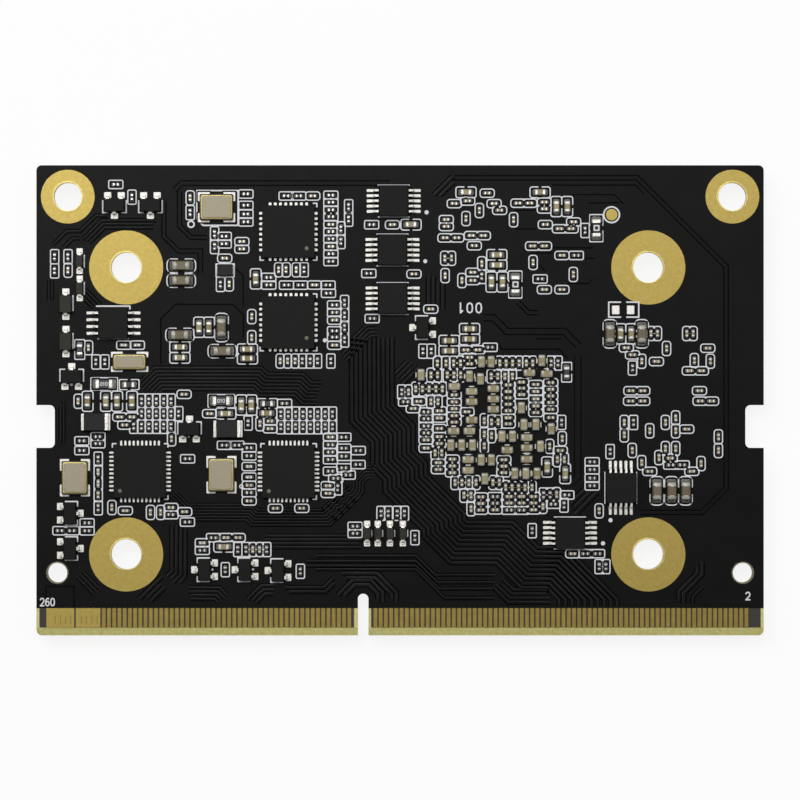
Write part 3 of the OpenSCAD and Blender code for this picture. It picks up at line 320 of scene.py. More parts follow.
def together(*shapes):
    """Several shapes as one: their points in a row and their faces renumbered."""
    starts = np.cumsum([0] + [len(points) for points, _ in shapes[:-1]])
    faces = np.concatenate([face + start for (_, face), start in zip(shapes, starts)])
    return np.concatenate([points for points, _ in shapes]), faces


def moved(shape, x=0.0, y=0.0, z=0.0):
    """A shape with the same step added to all its points."""
    return shape[0] + np.array([x, y, z]), shape[1]


def both_ends(shape):
    """A shape at the +X end, and the same shape turned half round at the -X end."""
    points, faces = shape
    return together(shape, (points * np.array([-1, -1, 1]), faces))


def stamp(shape, places, under=False):
    """Copies of a shape turned about Z and moved: each place is (x, y, z, angle).

    Under the board the shape's own Z runs downwards.
    """
    points, faces = shape
    if under:
        points = points * np.array([1, 1, -1])
        faces = faces[:, ::-1]
    cosine, sine = np.cos(places[:, 3, None]), np.sin(places[:, 3, None])
    x = points[:, 0] * cosine - points[:, 1] * sine + places[:, 0, None]
    y = points[:, 0] * sine + points[:, 1] * cosine + places[:, 1, None]
    z = points[:, 2] + places[:, 2, None]
    copies = np.stack([x, y, z], -1).reshape(-1, 3)
    starts = np.arange(len(places))[:, None, None] * len(points)
    return copies, (faces + starts).reshape(-1, faces.shape[1])


def put(name, shape, material, replaced=(), copies=0):
    """Puts a finished shape into the scene as a piece of the module.

    Where copies is given, each copy has its own tone between 0 and 1, kept on its points.
    """
    points, faces = shape
    mesh = bpy.data.meshes.new(name)
    mesh.from_pydata(points * MM, [], faces)
    mesh.materials.append(material)
    mesh.shade_smooth()
    mesh.set_sharp_from_angle(angle=SHARP_EDGE)
    if copies:
        tone = mesh.attributes.new("tone", "FLOAT", "POINT")
        own = np.repeat(rng.random(copies), len(points) // copies)
        tone.data.foreach_set("value", own.astype(np.float32))
    piece = bpy.data.objects.new(name, mesh)
    bpy.context.scene.collection.objects.link(piece)
    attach(piece, "root")
    if replaced:
        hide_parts(*replaced)


# Places read from the solids

def solid_boxes(*names):
    """Lowest and highest corner of each separate solid of the named nodes.

    Points that coincide are joined, then each triangle passes on the lowest label of its corners until none
    changes.
    """
    boxes = []
    for name in names:
        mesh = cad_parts[name].data
        points = np.empty(len(mesh.vertices) * 3, np.float32)
        mesh.vertices.foreach_get("co", points)
        points = points.reshape(-1, 3) / MM
        corners = np.empty(len(mesh.loops), np.int32)
        mesh.loops.foreach_get("vertex_index", corners)
        _, joined = np.unique(np.round(points * 2000).astype(np.int64), axis=0, return_inverse=True)
        joined = joined.ravel()
        triangles = joined[corners.reshape(-1, 3)]
        label = np.arange(joined.max() + 1)
        while True:
            lowest = label.copy()
            np.minimum.at(lowest, triangles.ravel(), np.repeat(label[triangles].min(1), 3))
            lowest = lowest[lowest]
            if np.array_equal(lowest, label):
                break
            label = lowest
        _, solid = np.unique(label[joined], return_inverse=True)
        low = np.full((solid.max() + 1, 3), np.inf)
        high = -low
        np.minimum.at(low, solid, points)
        np.maximum.at(high, solid, points)
        boxes.append(np.stack([low, high], 1))
    return np.concatenate(boxes)


def middles(boxes):
    """The middle of each box: half the sum of its two corners."""
    return boxes.mean(1)


def chip_places(bodies, ends):
    """Place of each chip on its seat, and its sizes along, across and up, for the body and for one end.

    A chip's own ends are the two nearest to its middle, and the line between them gives its turn.
    """
    middle, end_middle = middles(bodies), middles(ends)
    gap = np.linalg.norm(middle[:, None, :2] - end_middle[None, :, :2], axis=2)
    own = np.argsort(gap, 1)[:, :2]
    line = np.abs(end_middle[own[:, 0]] - end_middle[own[:, 1]])
    turned = line[:, 1] > line[:, 0]
    body = bodies[0, 1] - bodies[0, 0]
    end = ends[own[0, 0], 1] - ends[own[0, 0], 0]
    if turned[0]:
        body, end = body[[1, 0, 2]], end[[1, 0, 2]]
    places = np.column_stack([middle[:, :2], np.full(len(middle), np.nan), turned * np.pi / 2])
    return places, body, end


# Chips: a ceramic body with two metal end caps, each in its own solder fillet

def chip_body(length, width, height):
    """Ceramic body: a section with rounded edges carried along X."""
    ring, out = rounded_ring(width, height, min(width, height) * 0.12, 2)
    rings = stations(ring, out, [-length / 2, length / 2], [0, 0], axes=(1, 2, 0))
    return moved(loft(rings), z=height / 2)


def chip_ends(length, width, height, band, soft, fine):
    """End caps: a rounded section carried out along X and drawn in over its outer edge.

    The edge is soft times the lesser of width and height. It is one slope, or two slopes where it is fine.
    """
    edge = soft * min(width, height)
    ring, out = rounded_ring(width, height, edge * 1.3, 3 if fine else 2)
    past = np.array([0, 0.3, 1]) if fine else np.array([0, 1])
    drawn = np.concatenate([[0], past]) * edge
    along = np.concatenate([[length / 2 - band], length / 2 - edge * (1 - past ** 0.3)])
    return both_ends(moved(loft(stations(ring, out, along, drawn, axes=(1, 2, 0))), z=height / 2))


def chip_fillets(length, width, rise, reach):
    """Solder fillets: a hollow curve carried across the width and drawn in at its two sides.

    The curve's height is rise times (1 - s) squared at reach times s past the end.
    """
    s = np.array([0, 0.3, 0.65, 1])
    curve = np.stack([reach * s, rise * (1 - s) ** 2 + 0.02 * (1 - s)], -1)
    section = np.concatenate([[[-0.2 * reach, 0]], [[-0.2 * reach, rise]], curve])
    share = np.array([0.45, 1, 1, 0.45])[:, None]
    across = np.array([-1.06, -0.8, 0.8, 1.06]) * width / 2
    rings = np.empty((4, len(section), 3))
    rings[..., 0] = length / 2 + section[:, 0] * np.where(section[:, 0] > 0, share, 1)
    rings[..., 1] = across[:, None]
    rings[..., 2] = section[:, 1] * share
    return both_ends(loft(rings))


def make_chips(body_boxes, end_boxes, reach, soft, fine, joined=False, under=False):
    """Bodies, end caps and fillets of one family of chips, with their places and size.

    joined says that an end's solid already holds its fillet, which reaches past the chip.
    """
    places, body, end = chip_places(body_boxes, end_boxes)
    places[:, 2] = BOARD_UNDER if under else BOARD_TOP
    band = end[0] - reach if joined else end[0]
    length = body[0] + 2 * band
    lift = 0.0 if joined else 0.04
    core = moved(chip_body(body[0] + 0.02, body[1], body[2]), z=lift)
    caps = moved(chip_ends(length, end[1], end[2], band * (1.2 if fine else 1), soft, fine), z=lift)
    fillets = chip_fillets(length, end[1], 0.62 * end[2], reach)
    shapes = [stamp(shape, places, under) for shape in (core, caps, fillets)]
    return places, shapes, (length, end[1], end[2])


SMALL_REACH = 0.11
MEDIUM_REACH = 0.19
BLOCK_REACH = 0.04
LARGE_REACH = 0.26
TALL_CHIP = 0.8
# Piece, nodes of bodies and ends, then the bodies' finish and slot, the fillets' reach and the ends' finish
FAMILIES = [
    ("small_capacitor_bodies", "small_capacitors", "small_capacitor_ends",
     TAN, "tan_ceramic", SMALL_REACH, TIN),
    ("load_capacitor_bodies", "load_capacitors", "small_capacitor_ends",
     PALE, "pale_ceramic", SMALL_REACH, TIN),
    ("small_resistor_bodies", "small_resistors", "small_resistor_ends",
     GLAZE, "black_ceramic", SMALL_REACH, TIN),
    ("medium_capacitor_bodies", "medium_capacitors", "medium_capacitor_ends",
     STONE, "grey_ceramic", MEDIUM_REACH, TIN),
    ("medium_resistor_bodies", "medium_resistors", "medium_resistor_ends",
     GLAZE, "black_ceramic", MEDIUM_REACH, TIN),
    ("block_capacitor_bodies", "block_capacitors", "block_capacitor_ends",
     STONE, "tan_ceramic", BLOCK_REACH, DULL),
    ("large_capacitor_bodies", "large_capacitors", "large_capacitor_ends",
     GREY, "grey_ceramic", LARGE_REACH, DULL),
    ("large_resistor_bodies", "large_resistors", "large_resistor_ends",
     GLAZE, "black_ceramic", LARGE_REACH, TIN),
    ("ferrite_bead_bodies", "bead_bodies", "bead_ends",
     FERRITE, "ferrite", LARGE_REACH, TIN),
]
chips = {}
caps = {TIN: [], DULL: []}
end_nodes = {TIN: set(), DULL: set()}
fillets = []
for name, body_node, end_node, ceramic, slot, reach, end_finish in FAMILIES:
    fine = end_finish is DULL
    places, (core, cap, fillet), size = make_chips(solid_boxes(body_node), solid_boxes(end_node), reach,
                                                   0.26 if fine else 0.18, fine, joined=reach == SMALL_REACH)
    put(name, core, ceramic, (body_node,), copies=len(places))
    chips[body_node] = (places, size)
    caps[end_finish].append(cap)
    end_nodes[end_finish].add(end_node)
    fillets.append(fillet)
put("bright_end_caps", together(*caps[TIN]), TIN, sorted(end_nodes[TIN]))
put("dull_end_caps", together(*caps[DULL]), DULL, sorted(end_nodes[DULL]))
# The fillets' darker solder colour is a painted dark reflection of the board.
put("chip_fillets", together(*fillets), SOLDER_WITH_PAINTED_REFLECTION, ("chip_solder_joints",))


def make_underside_chips():
    """The bulk and the medium capacitors under the board, told apart by their height."""
    bodies, ends = solid_boxes("underside_capacitors"), solid_boxes("underside_capacitor_ends")
    made = []
    for tall in (True, False):
        own = [boxes[(np.ptp(boxes[..., 2], axis=1) > TALL_CHIP) == tall] for boxes in (bodies, ends)]
        made.append(make_chips(*own, LARGE_REACH if tall else MEDIUM_REACH, soft=0.2, fine=True, under=True))
        chips["bulk_capacitors" if tall else "underside_capacitors"] = (made[-1][0], made[-1][2])
    cores, ends = (together(*[shapes[part] for _, shapes, _ in made]) for part in (0, 1))
    put("underside_capacitor_bodies", cores, STONE, ("underside_capacitors",),
        copies=len(bodies))
    put("underside_end_caps", ends, DULL, ("underside_capacitor_ends",))


make_underside_chips()


# Blocks: packages, cans, chokes and lands, rebuilt with rounded edges where their solids stand

def is_under(boxes):
    """Which of the boxes lie below the board's middle."""
    return middles(boxes)[:, 2] < (BOARD_TOP + BOARD_UNDER) / 2


def make_blocks(node, material, slot, corner, edge, draft=0.0, steps=3, bends=3, low=0.0, high=1.0,
                name="rounded"):
    """Every solid of a node as a rounded block of its own size, drawn once for each size that occurs.

    The block goes from the share low to the share high of the solid's height, counted from the board.
    """
    boxes = solid_boxes(node)
    size = np.round(boxes[:, 1] - boxes[:, 0], 3)
    shapes = []
    for one in np.unique(size, axis=0):
        up = (high - low) * one[2]
        block = rounded_block(one[0], one[1], up, corner, min(edge, 0.8 * up), steps, bends, draft)
        for under in (False, True):
            found = boxes[(size == one).all(1) & (is_under(boxes) == under)]
            seat = found[:, 1, 2] - low * one[2] if under else found[:, 0, 2] + low * one[2]
            places = np.column_stack([middles(found)[:, :2], seat, np.zeros(len(found))])
            shapes.append(stamp(block, places, under))
    put(node + "_" + name, together(*shapes), material, (node,))


# Leads: a flat strip carried over the shoulder, down and out along the foot

LEAD_THICKNESS = 0.13


def bent_lead(length, width, height):
    """A strip carried along its bent line.

    The line goes out at the top, down through two quarter circles and out along the foot. The strip's width
    goes in to seven tenths where it bends, by one less three tenths of a bell curve about the bend.
    """
    half = LEAD_THICKNESS / 2
    bend = 0.1
    drop = 0.43 * length
    turn = np.linspace(0, np.pi / 2, 3)
    over = np.stack([drop - bend + bend * np.sin(turn), height - half - bend + bend * np.cos(turn)], -1)
    out = np.stack([drop + 1.6 * bend - 1.4 * bend * np.cos(turn), half + bend - bend * np.sin(turn)], -1)
    line = np.concatenate([[[-0.04, height - half]], over, out, [[length, half]]])
    along = np.gradient(line, axis=0)
    along /= np.linalg.norm(along, axis=1)[:, None]
    lift = half * np.stack([-along[:, 1], along[:, 0]], -1)
    rings = np.empty((len(line), 4, 3))
    waist = 1 - 0.3 * np.exp(-(((line[:, 0] - drop) / (0.2 * length)) ** 2))
    rings[:, :, 1] = waist[:, None] * np.array([-1, 1, 1, -1]) * width / 2
    rings[:, :2, ::2] = (line - lift)[:, None]
    rings[:, 2:, ::2] = (line + lift)[:, None]
    return loft(rings)


def make_leads(lead_node, body_node):
    """All leads of one kind.

    A lead's body is the nearest one, and the side of it that the lead stands off gives its turn.
    """
    leads, bodies = solid_boxes(lead_node), solid_boxes(body_node)
    middle = middles(leads)[:, None, :2]
    outside = np.maximum(bodies[None, :, 0, :2] - middle, middle - bodies[None, :, 1, :2])
    row = np.arange(len(leads))
    owner = np.argmin(np.maximum(outside, 0).sum(2), 1)
    axis = np.argmax(outside[row, owner], 1)
    forward = middle[:, 0][row, axis] > middles(bodies)[owner, axis]
    size = leads[:, 1] - leads[:, 0]
    shape = np.round(np.column_stack([size[row, axis], size[row, 1 - axis], size[:, 2]]), 3)
    root = middle[:, 0].copy()
    root[row, axis] = np.where(forward, leads[row, 0, axis], leads[row, 1, axis])
    places = np.column_stack([root, leads[:, 0, 2], axis * np.pi / 2 + np.where(forward, 0, np.pi)])
    made = [stamp(bent_lead(*one), places[(shape == one).all(1)]) for one in np.unique(shape, axis=0)]
    put(lead_node + "_formed", together(*made), LEAD_TIN, (lead_node,))
    return places, owner, bodies


def disc(x, y, radius, low, high):
    """A round flat mark: a circle at two levels, the upper one drawn in a little."""
    ring, out = rounded_ring(2 * radius, 2 * radius, radius * 0.999, 4)
    return moved(loft(stations(ring, out, [low, high], [0, 0.1 * radius])), x, y)


PACKAGE_SIZES = {"corner": 0.06, "edge": 0.03}
for node in ("power_manager_1", "power_manager_2", "transceiver_1", "transceiver_2"):
    make_blocks(node, MOULD, "mould", **PACKAGE_SIZES)
for node in ("supervisor_body", "regulator_bodies", "transistor_bodies"):
    make_blocks(node, MOULD, "mould", draft=0.05, **PACKAGE_SIZES)
make_blocks("diode_bodies", OLIVE, "mould", draft=0.05, **PACKAGE_SIZES)
make_leads("supervisor_leads", "supervisor_body")
make_leads("regulator_leads", "regulator_bodies")
lead_places, lead_owner, transistor_boxes = make_leads("transistor_leads", "transistor_bodies")
make_leads("diode_leads", "diode_bodies")
make_blocks("lead_solder", LEAD_TIN, "tin", corner=0.06, edge=0.035, steps=2, bends=2)
make_blocks("filter_body", FERRITE, "ferrite", corner=0.08, edge=0.05)
for node in ("power_manager_terminals", "transceiver_terminals", "power_controller_terminals"):
    make_blocks(node, WET_TIN, "tin", corner=0.07, edge=0.03, steps=2, bends=2)
for kind in ("crystal_bases", "clock_crystal_base"):
    make_blocks(kind, BASE, "black_ceramic", corner=0.12, edge=0.04)
make_blocks("power_controller", MOULD, "mould", **PACKAGE_SIZES)
make_blocks("processor_substrate", SUBSTRATE, "substrate", corner=0.15, edge=0.03)
make_blocks("processor_lid", NICKEL, "nickel", corner=0.8, edge=0.18, steps=8, bends=5)
make_blocks("power_chokes", FERRITE, "ferrite", corner=0.4, edge=0.16, steps=6, bends=4)
SUBSTRATE_SHARE = 0.3
for node in ("memory_packages", "flash_package"):
    make_blocks(node, SUBSTRATE, "substrate", corner=0.06, edge=0.02, high=SUBSTRATE_SHARE, name="substrate")
    make_blocks(node, MOULD, "mould", corner=0.06, edge=0.04, low=SUBSTRATE_SHARE, name="mould")


def make_balls(node):
    """Soldered balls: a round section carried up its height.

    It is drawn in by one less the sine of half a turn over that height.
    """
    boxes = solid_boxes(node)
    width, _, height = boxes[0, 1] - boxes[0, 0]
    ring, out = rounded_ring(width, width, 0.499 * width, 2)
    share = np.linspace(0, 1, 4)
    ball = loft(stations(ring, out, share * height, 0.25 * width * (1 - np.sin(np.pi * share))))
    places = np.column_stack([middles(boxes)[:, :2], boxes[:, 0, 2], np.zeros(len(boxes))])
    put(node + "_soft", stamp(ball, places), SOLDER_WITH_PAINTED_REFLECTION, (node,))


make_balls("processor_balls")
make_balls("package_balls")


def make_choke_clips():
    """Tinned clips up the two ends of each power choke: thin rounded plates, half of each out of the core."""
    boxes = solid_boxes("power_chokes")
    length = (boxes[0, 1] - boxes[0, 0])[0]
    plate = rounded_block(0.12, 2.5, 1.1, 0.05, 0.04)
    clips = together(moved(plate, x=-length / 2), moved(plate, x=length / 2))
    places = np.column_stack([middles(boxes)[:, :2], boxes[:, 1, 2], np.zeros(len(boxes))])
    put("power_choke_clips", stamp(clips, places, under=True), TIN)


make_choke_clips()


def make_chokes():
    """Chokes: a dark core that leaves a thin edge of one terminal and a broad band of the other."""
    cores, metal = [], []
    ends = solid_boxes("choke_terminals")
    for low, high in solid_boxes("choke_cores"):
        near = np.abs(middles(ends)[:, 1] - (low + high)[1] / 2) < 0.4
        near &= np.abs(middles(ends)[:, 0] - (low + high)[0] / 2) < 2.0
        left, right = ends[near, 0, 0].min(), ends[near, 1, 0].max()
        width, height = ends[near, 1, 1].max() - ends[near, 0, 1].min(), high[2] - low[2]
        parts = ((cores, left + 0.09, right - 0.28, height), (metal, left, left + 0.14, 0.9 * height),
                 (metal, right - 0.32, right, 0.97 * height))
        for group, start, stop, up in parts:
            place = np.array([[(start + stop) / 2, (low + high)[1] / 2, low[2], 0]])
            group.append(stamp(rounded_block(stop - start, width, up, 0.06, 0.04), place))
    put("choke_cores_rounded", together(*cores), FERRITE, ("choke_cores",))
    put("choke_terminals_rounded", together(*metal), TIN, ("choke_terminals",))


def make_lids(node):
    """Can lids: a gold seam ring on the base, and the lid drawn in from it with a soft edge."""
    boxes = solid_boxes(node)
    rims, lids = [], []
    for (low, high), under in zip(boxes, is_under(boxes)):
        length, width, height = high - low
        place = np.array([[*(low + high)[:2] / 2, high[2] if under else low[2], 0]])
        rims.append(stamp(rounded_block(length, width, 0.55 * height, 0.2, 0.05), place, under))
        lids.append(stamp(rounded_block(length - 0.2, width - 0.2, height, 0.18, 0.06), place, under))
    put(node + "_seam", together(*rims), SEAM_GOLD_AND_RIM_HIGHLIGHT)
    put(node + "_soft", together(*lids), LID, (node,))


make_chokes()
make_lids("crystal_lids")
make_lids("clock_crystal_lid")


# Conductors: flat-topped ridges and narrow gaps in the copper under the mask, sunk a little into its face

SUNK = 0.004
RIDGE_TOP = 0.006
GAP_TOP = 0.003
LOOSE_ENDS = 0.8
VIA_RADIUS = 0.15


def side_lines(points, count, pitch, short=0.0):
    """Parallel lines beside a bent line, pitch apart, with their ends drawn back by the lengths short.

    A corner moves along its mitre: the sum of the normals on its two sides divided by one plus their product.
    """
    line = np.array(points, float)
    along = np.diff(line, axis=0)
    along /= np.linalg.norm(along, axis=1)[:, None]
    normal = np.stack([-along[:, 1], along[:, 0]], -1)
    before, after = np.concatenate([normal[:1], normal]), np.concatenate([normal, normal[-1:]])
    mitre = (before + after) / (1 + np.sum(before * after, 1))[:, None]
    shift = (np.arange(count) - (count - 1) / 2) * pitch
    lines = line + shift[:, None, None] * mitre
    back = np.broadcast_to(np.reshape(short, (-1, 1, 1)), (count, 1, 2))[:, 0]
    lines[:, 0] += back * along[0]
    lines[:, -1] -= back * along[-1]
    return lines, mitre


def ridges(points, count, pitch, width, top, short=0.0, under=False):
    """A low trapezium, narrower by a sixth at its top, carried along each of the parallel lines."""
    lines, mitre = side_lines(points, count, pitch, short)
    across = np.array([-1, 1, 5 / 6, -5 / 6]) * width / 2
    rise = np.array([-SUNK, -SUNK, top, top])
    rings = np.empty((count, len(mitre), 4, 3))
    rings[..., :2] = lines[:, :, None] + across[:, None] * mitre[:, None]
    rings[..., 2] = BOARD_UNDER - rise if under else BOARD_TOP + rise
    return together(*[loft(one) for one in rings])


def traces(points, count, pitch, width, loose=LOOSE_ENDS, under=False):
    """A bundle of conductors: its ridges, the gaps beside them, and the places of the vias at its loose ends.

    Each conductor is drawn back at its ends by its own length, and a gap by the lesser length of its two
    neighbours.
    """
    gap = pitch - width if count > 1 else 0.13
    step = pitch if count > 1 else width + gap
    most = min(loose, *(0.6 * np.linalg.norm(np.subtract(a, b)) for a, b in (points[:2], points[-2:])))
    short = most * rng.random(count) if count > 1 else np.zeros(1)
    beside = np.minimum(np.concatenate([short[:1], short]), np.concatenate([short, short[-1:]]))
    lines, _ = side_lines(points, count, pitch, short)
    ends = lines[:, [0, -1]].reshape(-1, 2) if loose else np.empty((0, 2))
    return (ridges(points, count, pitch, width, RIDGE_TOP, short, under),
            ridges(points, count + 1, step, gap, GAP_TOP, beside, under), ends[ends[:, 1] > STRIP_EDGE + 1])


def stepped(levels, drops, x0, x1, x2):
    """Lines that run level, step down at 45 degrees by their drop from x1 on, and run level again to x2."""
    return [([(x0 - 0.9 * (k % 3), y), (x1, y), (x1 + drop, y - drop), (x2, y - drop)], 1, 0.3, 0.2)
            for k, (y, drop) in enumerate(zip(levels, drops))]


def wavy(start, end, waves, swing):
    """Points of a line that swings to both sides: swing times the sine of its turns, square to the line."""
    start, end = np.array(start), np.array(end)
    share = np.linspace(0, 1, 6 * waves + 1)[:, None]
    square = np.array([start[1] - end[1], end[0] - start[0]]) / np.linalg.norm(end - start)
    swung = start + share * (end - start) + swing * np.sin(2 * np.pi * waves * share) * square
    return [tuple(point) for point in swung]


# A route is its points, the number of lines, their pitch and width, and the length of its loose ends
RIDGE_ROUTES = [
    ([(-2.7, 6), (-2.7, -1.2), (-0.7, -3.2), (-0.7, -5.6), (0.5, -6.8), (0.5, -7.9), (4.2, -11.6),
      (4.2, -12.2), (5.6, -13.6), (10, -13.6), (12.4, -16), (13.9, -16)], 10, 0.43, 0.28, 0.0),
    ([(9.3, -17.4), (10.6, -18.7), (14.5, -18.7)], 4, 0.4, 0.26),
    ([(-22.4, -8.9), (-20.6, -10.7), (-14.4, -10.7), (-13.9, -11.2), (-7, -11.2),
      *wavy((-6.8, -11), (-4.5, -8.7), 4, 0.1), (-4.3, -8.5), (-4.3, -7.6), (-3.4, -6.7), (-2.3, -6.7)],
     6, 0.29, 0.18),
    ([(-32.5, 0), (-32.5, -4.3)], 3, 0.3, 0.18),
    ([(-31.0, -16.3), (-28.7, -18.6)], 3, 0.36, 0.24),
    ([(-22.4, -17.1), (-24.7, -19.4)], 3, 0.45, 0.3),
    ([(-21.2, -11.9), (-21.2, -16.6), (-21.9, -17.3)], 4, 0.42, 0.28),
    ([(-20.7, -18.45), (-17.5, -18.45), (-16.6, -19.35)], 4, 0.36, 0.22),
    ([(-24.6, 0.6), (-23.1, 2.1), (-13.7, 2.1), (-13.1, 1.5), (-9.7, 1.5), (-8.9, 0.7), (-7.5, 0.7)],
     7, 0.34, 0.22),
    ([(-33.2, 14.9), (-31.9, 16.2), (-30.6, 16.2), (-29.1, 17.7), (-28, 17.7)], 1, 0.3, 0.2),
    ([(-32.2, 14.6), (-31.3, 15.5), (-30.6, 15.5)], 1, 0.3, 0.2),
    ([(-30.4, 14.9), (-28.4, 16.9), (-23, 16.9)], 3, 0.34, 0.2),
    ([(-30.6, 10.6), (-28.7, 8.7)], 3, 0.34, 0.2),
    ([(-33.45, 11.6), (-33.45, 9.5)], 2, 0.3, 0.18),
    ([(-5.6, 4.1), (-3, 6.7), (-2, 6.7)], 4, 0.34, 0.22),
    ([(-0.5, 1.7), (1.6, 3.8)], 4, 0.4, 0.26),
    ([(3.4, 19.5), (5.2, 21.3)], 2, 0.45, 0.3),
    ([(28.65, -15.4), (28.65, -16.6), (26.9, -18.35), (26.9, -19.6)], 2, 0.45, 0.3),
    ([(28.9, -17.9), (28, -18.8), (28, -19.4)], 1, 0.3, 0.2),
    ([(16.3, -10.6), (18.6, -8.3)], 3, 0.5, 0.34),
    ([(3.4, 12), (3.4, 8.5)], 4, 0.45, 0.3),
    ([(-5.8, -18.8), (-4.4, -17.4), (-2.9, -17.4), (-1.9, -18.4), (-1.9, -19.4)], 2, 0.45, 0.3),
    ([(-5.6, -16.75), (-2.3, -16.75), (-0.6, -18.45), (-0.6, -19.4)], 2, 0.45, 0.3),
    ([(-11, -18.1), (-7.2, -18.1), (-6.2, -17.1)], 2, 0.4, 0.26),
    ([(-13, -13.5), (-3.4, -13.5)], 4, 0.36, 0.24),
    ([(-14.5, -19.5), (-13.1, -18.1), (-11.6, -18.1)], 3, 0.4, 0.26),
]
RIDGE_ROUTES += [([(13.9, -17.935 + 0.43 * k), (14.07 + 0.19 * k, -17.935 + 0.43 * k),
                   (15.2 + 0.62 * k, -19.06), (15.2 + 0.62 * k, -19.7)], 1, 0.3, 0.26, 0.0)
                 for k in range(10)]
RIDGE_ROUTES += stepped((-14.85, -15.35, -15.8, -16.15), (1.85, 2.05, 2.2, 2.75), -8, 1.5, 9)
GAP_ROUTES = [
    ([(-33.9, -19.8), (-33.9, -17.8), (-31.2, -17.8), (-31.2, -19.8)], 1, 0.3, 0.14),
    ([(-21.6, 20.1), (-20.9, 20.8), (-1, 20.8)], 2, 0.45, 0.14),
    ([(-22.6, 19), (-22.6, 15.7), (-21.2, 14.3), (-19.1, 14.3), (-19.1, 12.2)], 2, 0.4, 0.14),
    ([(-21.1, 20), (-21.1, 16.7), (-20, 15.6), (-18.5, 15.6)], 2, 0.4, 0.14),
    ([(-22.9, 3.5), (-22.9, 7.8), (-21.5, 9.2), (-16, 9.2), (-15, 8.2), (-15, 6)], 1, 0.3, 0.16),
    ([(-15.9, 12.8), (-15, 11.9), (-15, 9)], 1, 0.3, 0.14),
    ([(5, 21.3), (22.7, 21.3), (31.2, 12.8), (31.2, -8.4), (28.9, -10.7), (23, -10.7)], 2, 0.42, 0.14),
    ([(17, 4.3), (17, -7.3), (16.3, -8)], 2, 0.62, 0.12),
    ([(14.5, 20.6), (22.5, 20.6), (23.3, 19.8)], 1, 0.3, 0.14),
    ([(16.5, 19.7), (20.5, 19.7), (21.4, 18.8)], 1, 0.3, 0.14),
    ([(18, 18.9), (21, 18.9)], 1, 0.3, 0.14),
    ([(11, 17.3), (13, 17.3)], 2, 1.8, 0.14),
    ([(14.6, 14.6), (18.5, 14.6)], 1, 0.3, 0.14),
    ([(12.5, 14.1), (14.6, 14.1)], 1, 0.3, 0.14),
    ([(17.7, 13.6), (18.6, 13.6)], 1, 0.3, 0.14),
    ([(13.2, 13.1), (13.9, 12.4)], 1, 0.3, 0.14),
    ([(16, 11.2), (18, 11.2), (18.4, 11.6)], 1, 0.3, 0.14),
    ([(8, 7.9), (8.95, 7.9), (10.25, 6.6), (15.7, 6.6), (17.1, 5.2)], 2, 0.6, 0.14),
    ([(9.4, 5.3), (9.8, 4.9), (15.2, 4.9), (16.1, 4)], 1, 0.3, 0.14),
    ([(13, 5.9), (15.4, 5.9)], 1, 0.3, 0.14),
    ([(11.3, 9.4), (12.3, 8.4), (13.3, 8.4)], 2, 0.4, 0.14),
]
UNDER_ROUTES = [
    ([(4, -12), (4, -14.5), (1, -17.5), (1, -19.6)], 10, 0.43, 0.28),
    ([(-20.6, 3), (-27, 3), (-29.5, 0.5), (-29.5, -8.5), (-31.2, -10.2), (-31.2, -14)], 6, 0.4, 0.26),
    ([(-19, 4.6), (-12, 4.6), (-9.5, 2.1), (-9.5, 0.3)], 5, 0.4, 0.26),
    ([(-20, -16.2), (-15.6, -16.2), (-13, -18.8), (-13, -19.6)], 6, 0.42, 0.28),
    ([(32.6, 14), (32.6, 2)], 4, 0.4, 0.26),
    ([(-25.2, -6.5), (-25.2, -1.2), (-24, 0), (-19.2, 0)], 4, 0.4, 0.26),
]
UNDER_GAPS = [
    ([(-2.2, -13.5), (-2.2, -3), (-0.8, -1.6), (-0.8, 5)], 1, 0.3, 0.14),
    ([(-24.2, 19.6), (-22.9, 20.9), (-8, 20.9)], 2, 0.45, 0.14),
    ([(20.2, 21.2), (26.5, 21.2), (28.2, 19.5)], 1, 0.3, 0.14),
    ([(-33.2, 15.4), (-33.2, 2)], 1, 0.3, 0.14),
    ([(19.8, 8.6), (31.4, 8.6)], 1, 0.3, 0.14),
]
SUPPLY_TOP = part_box("edge_contacts_top")[1].z / MM - BOARD_TOP + 0.008
SUPPLY_LEFT = -33.85
TICKS = (-33.0, -32.5, -32.0, -31.5, -30.5, -30.0, -29.5, -29.0)
ticks = [ridges([(x, -20.6), (x, -21.4)], 1, 0.3, 0.09, SUPPLY_TOP) for x in TICKS]
put("supply_block_ticks", together(*ticks), WORN_GOLD)


def make_supply_plates():
    """Bright plates over the two wide supply contacts on top, the first one reaching further out."""
    boxes = solid_boxes("edge_contacts_top")
    plates = []
    for low, high in boxes[np.ptp(boxes[..., 0], axis=1) > 1]:
        left = min(low[0], SUPPLY_LEFT) if low[0] < SUPPLY_LEFT + 1 else low[0]
        place = np.array([[(left + high[0]) / 2, (low[1] + high[1]) / 2, BOARD_TOP - SUNK, 0]])
        plates.append(stamp(rounded_block(high[0] - left, high[1] - low[1], SUPPLY_TOP, 0.03, 0.003), place))
    put("supply_block_plates", together(*plates), GOLD)


make_supply_plates()


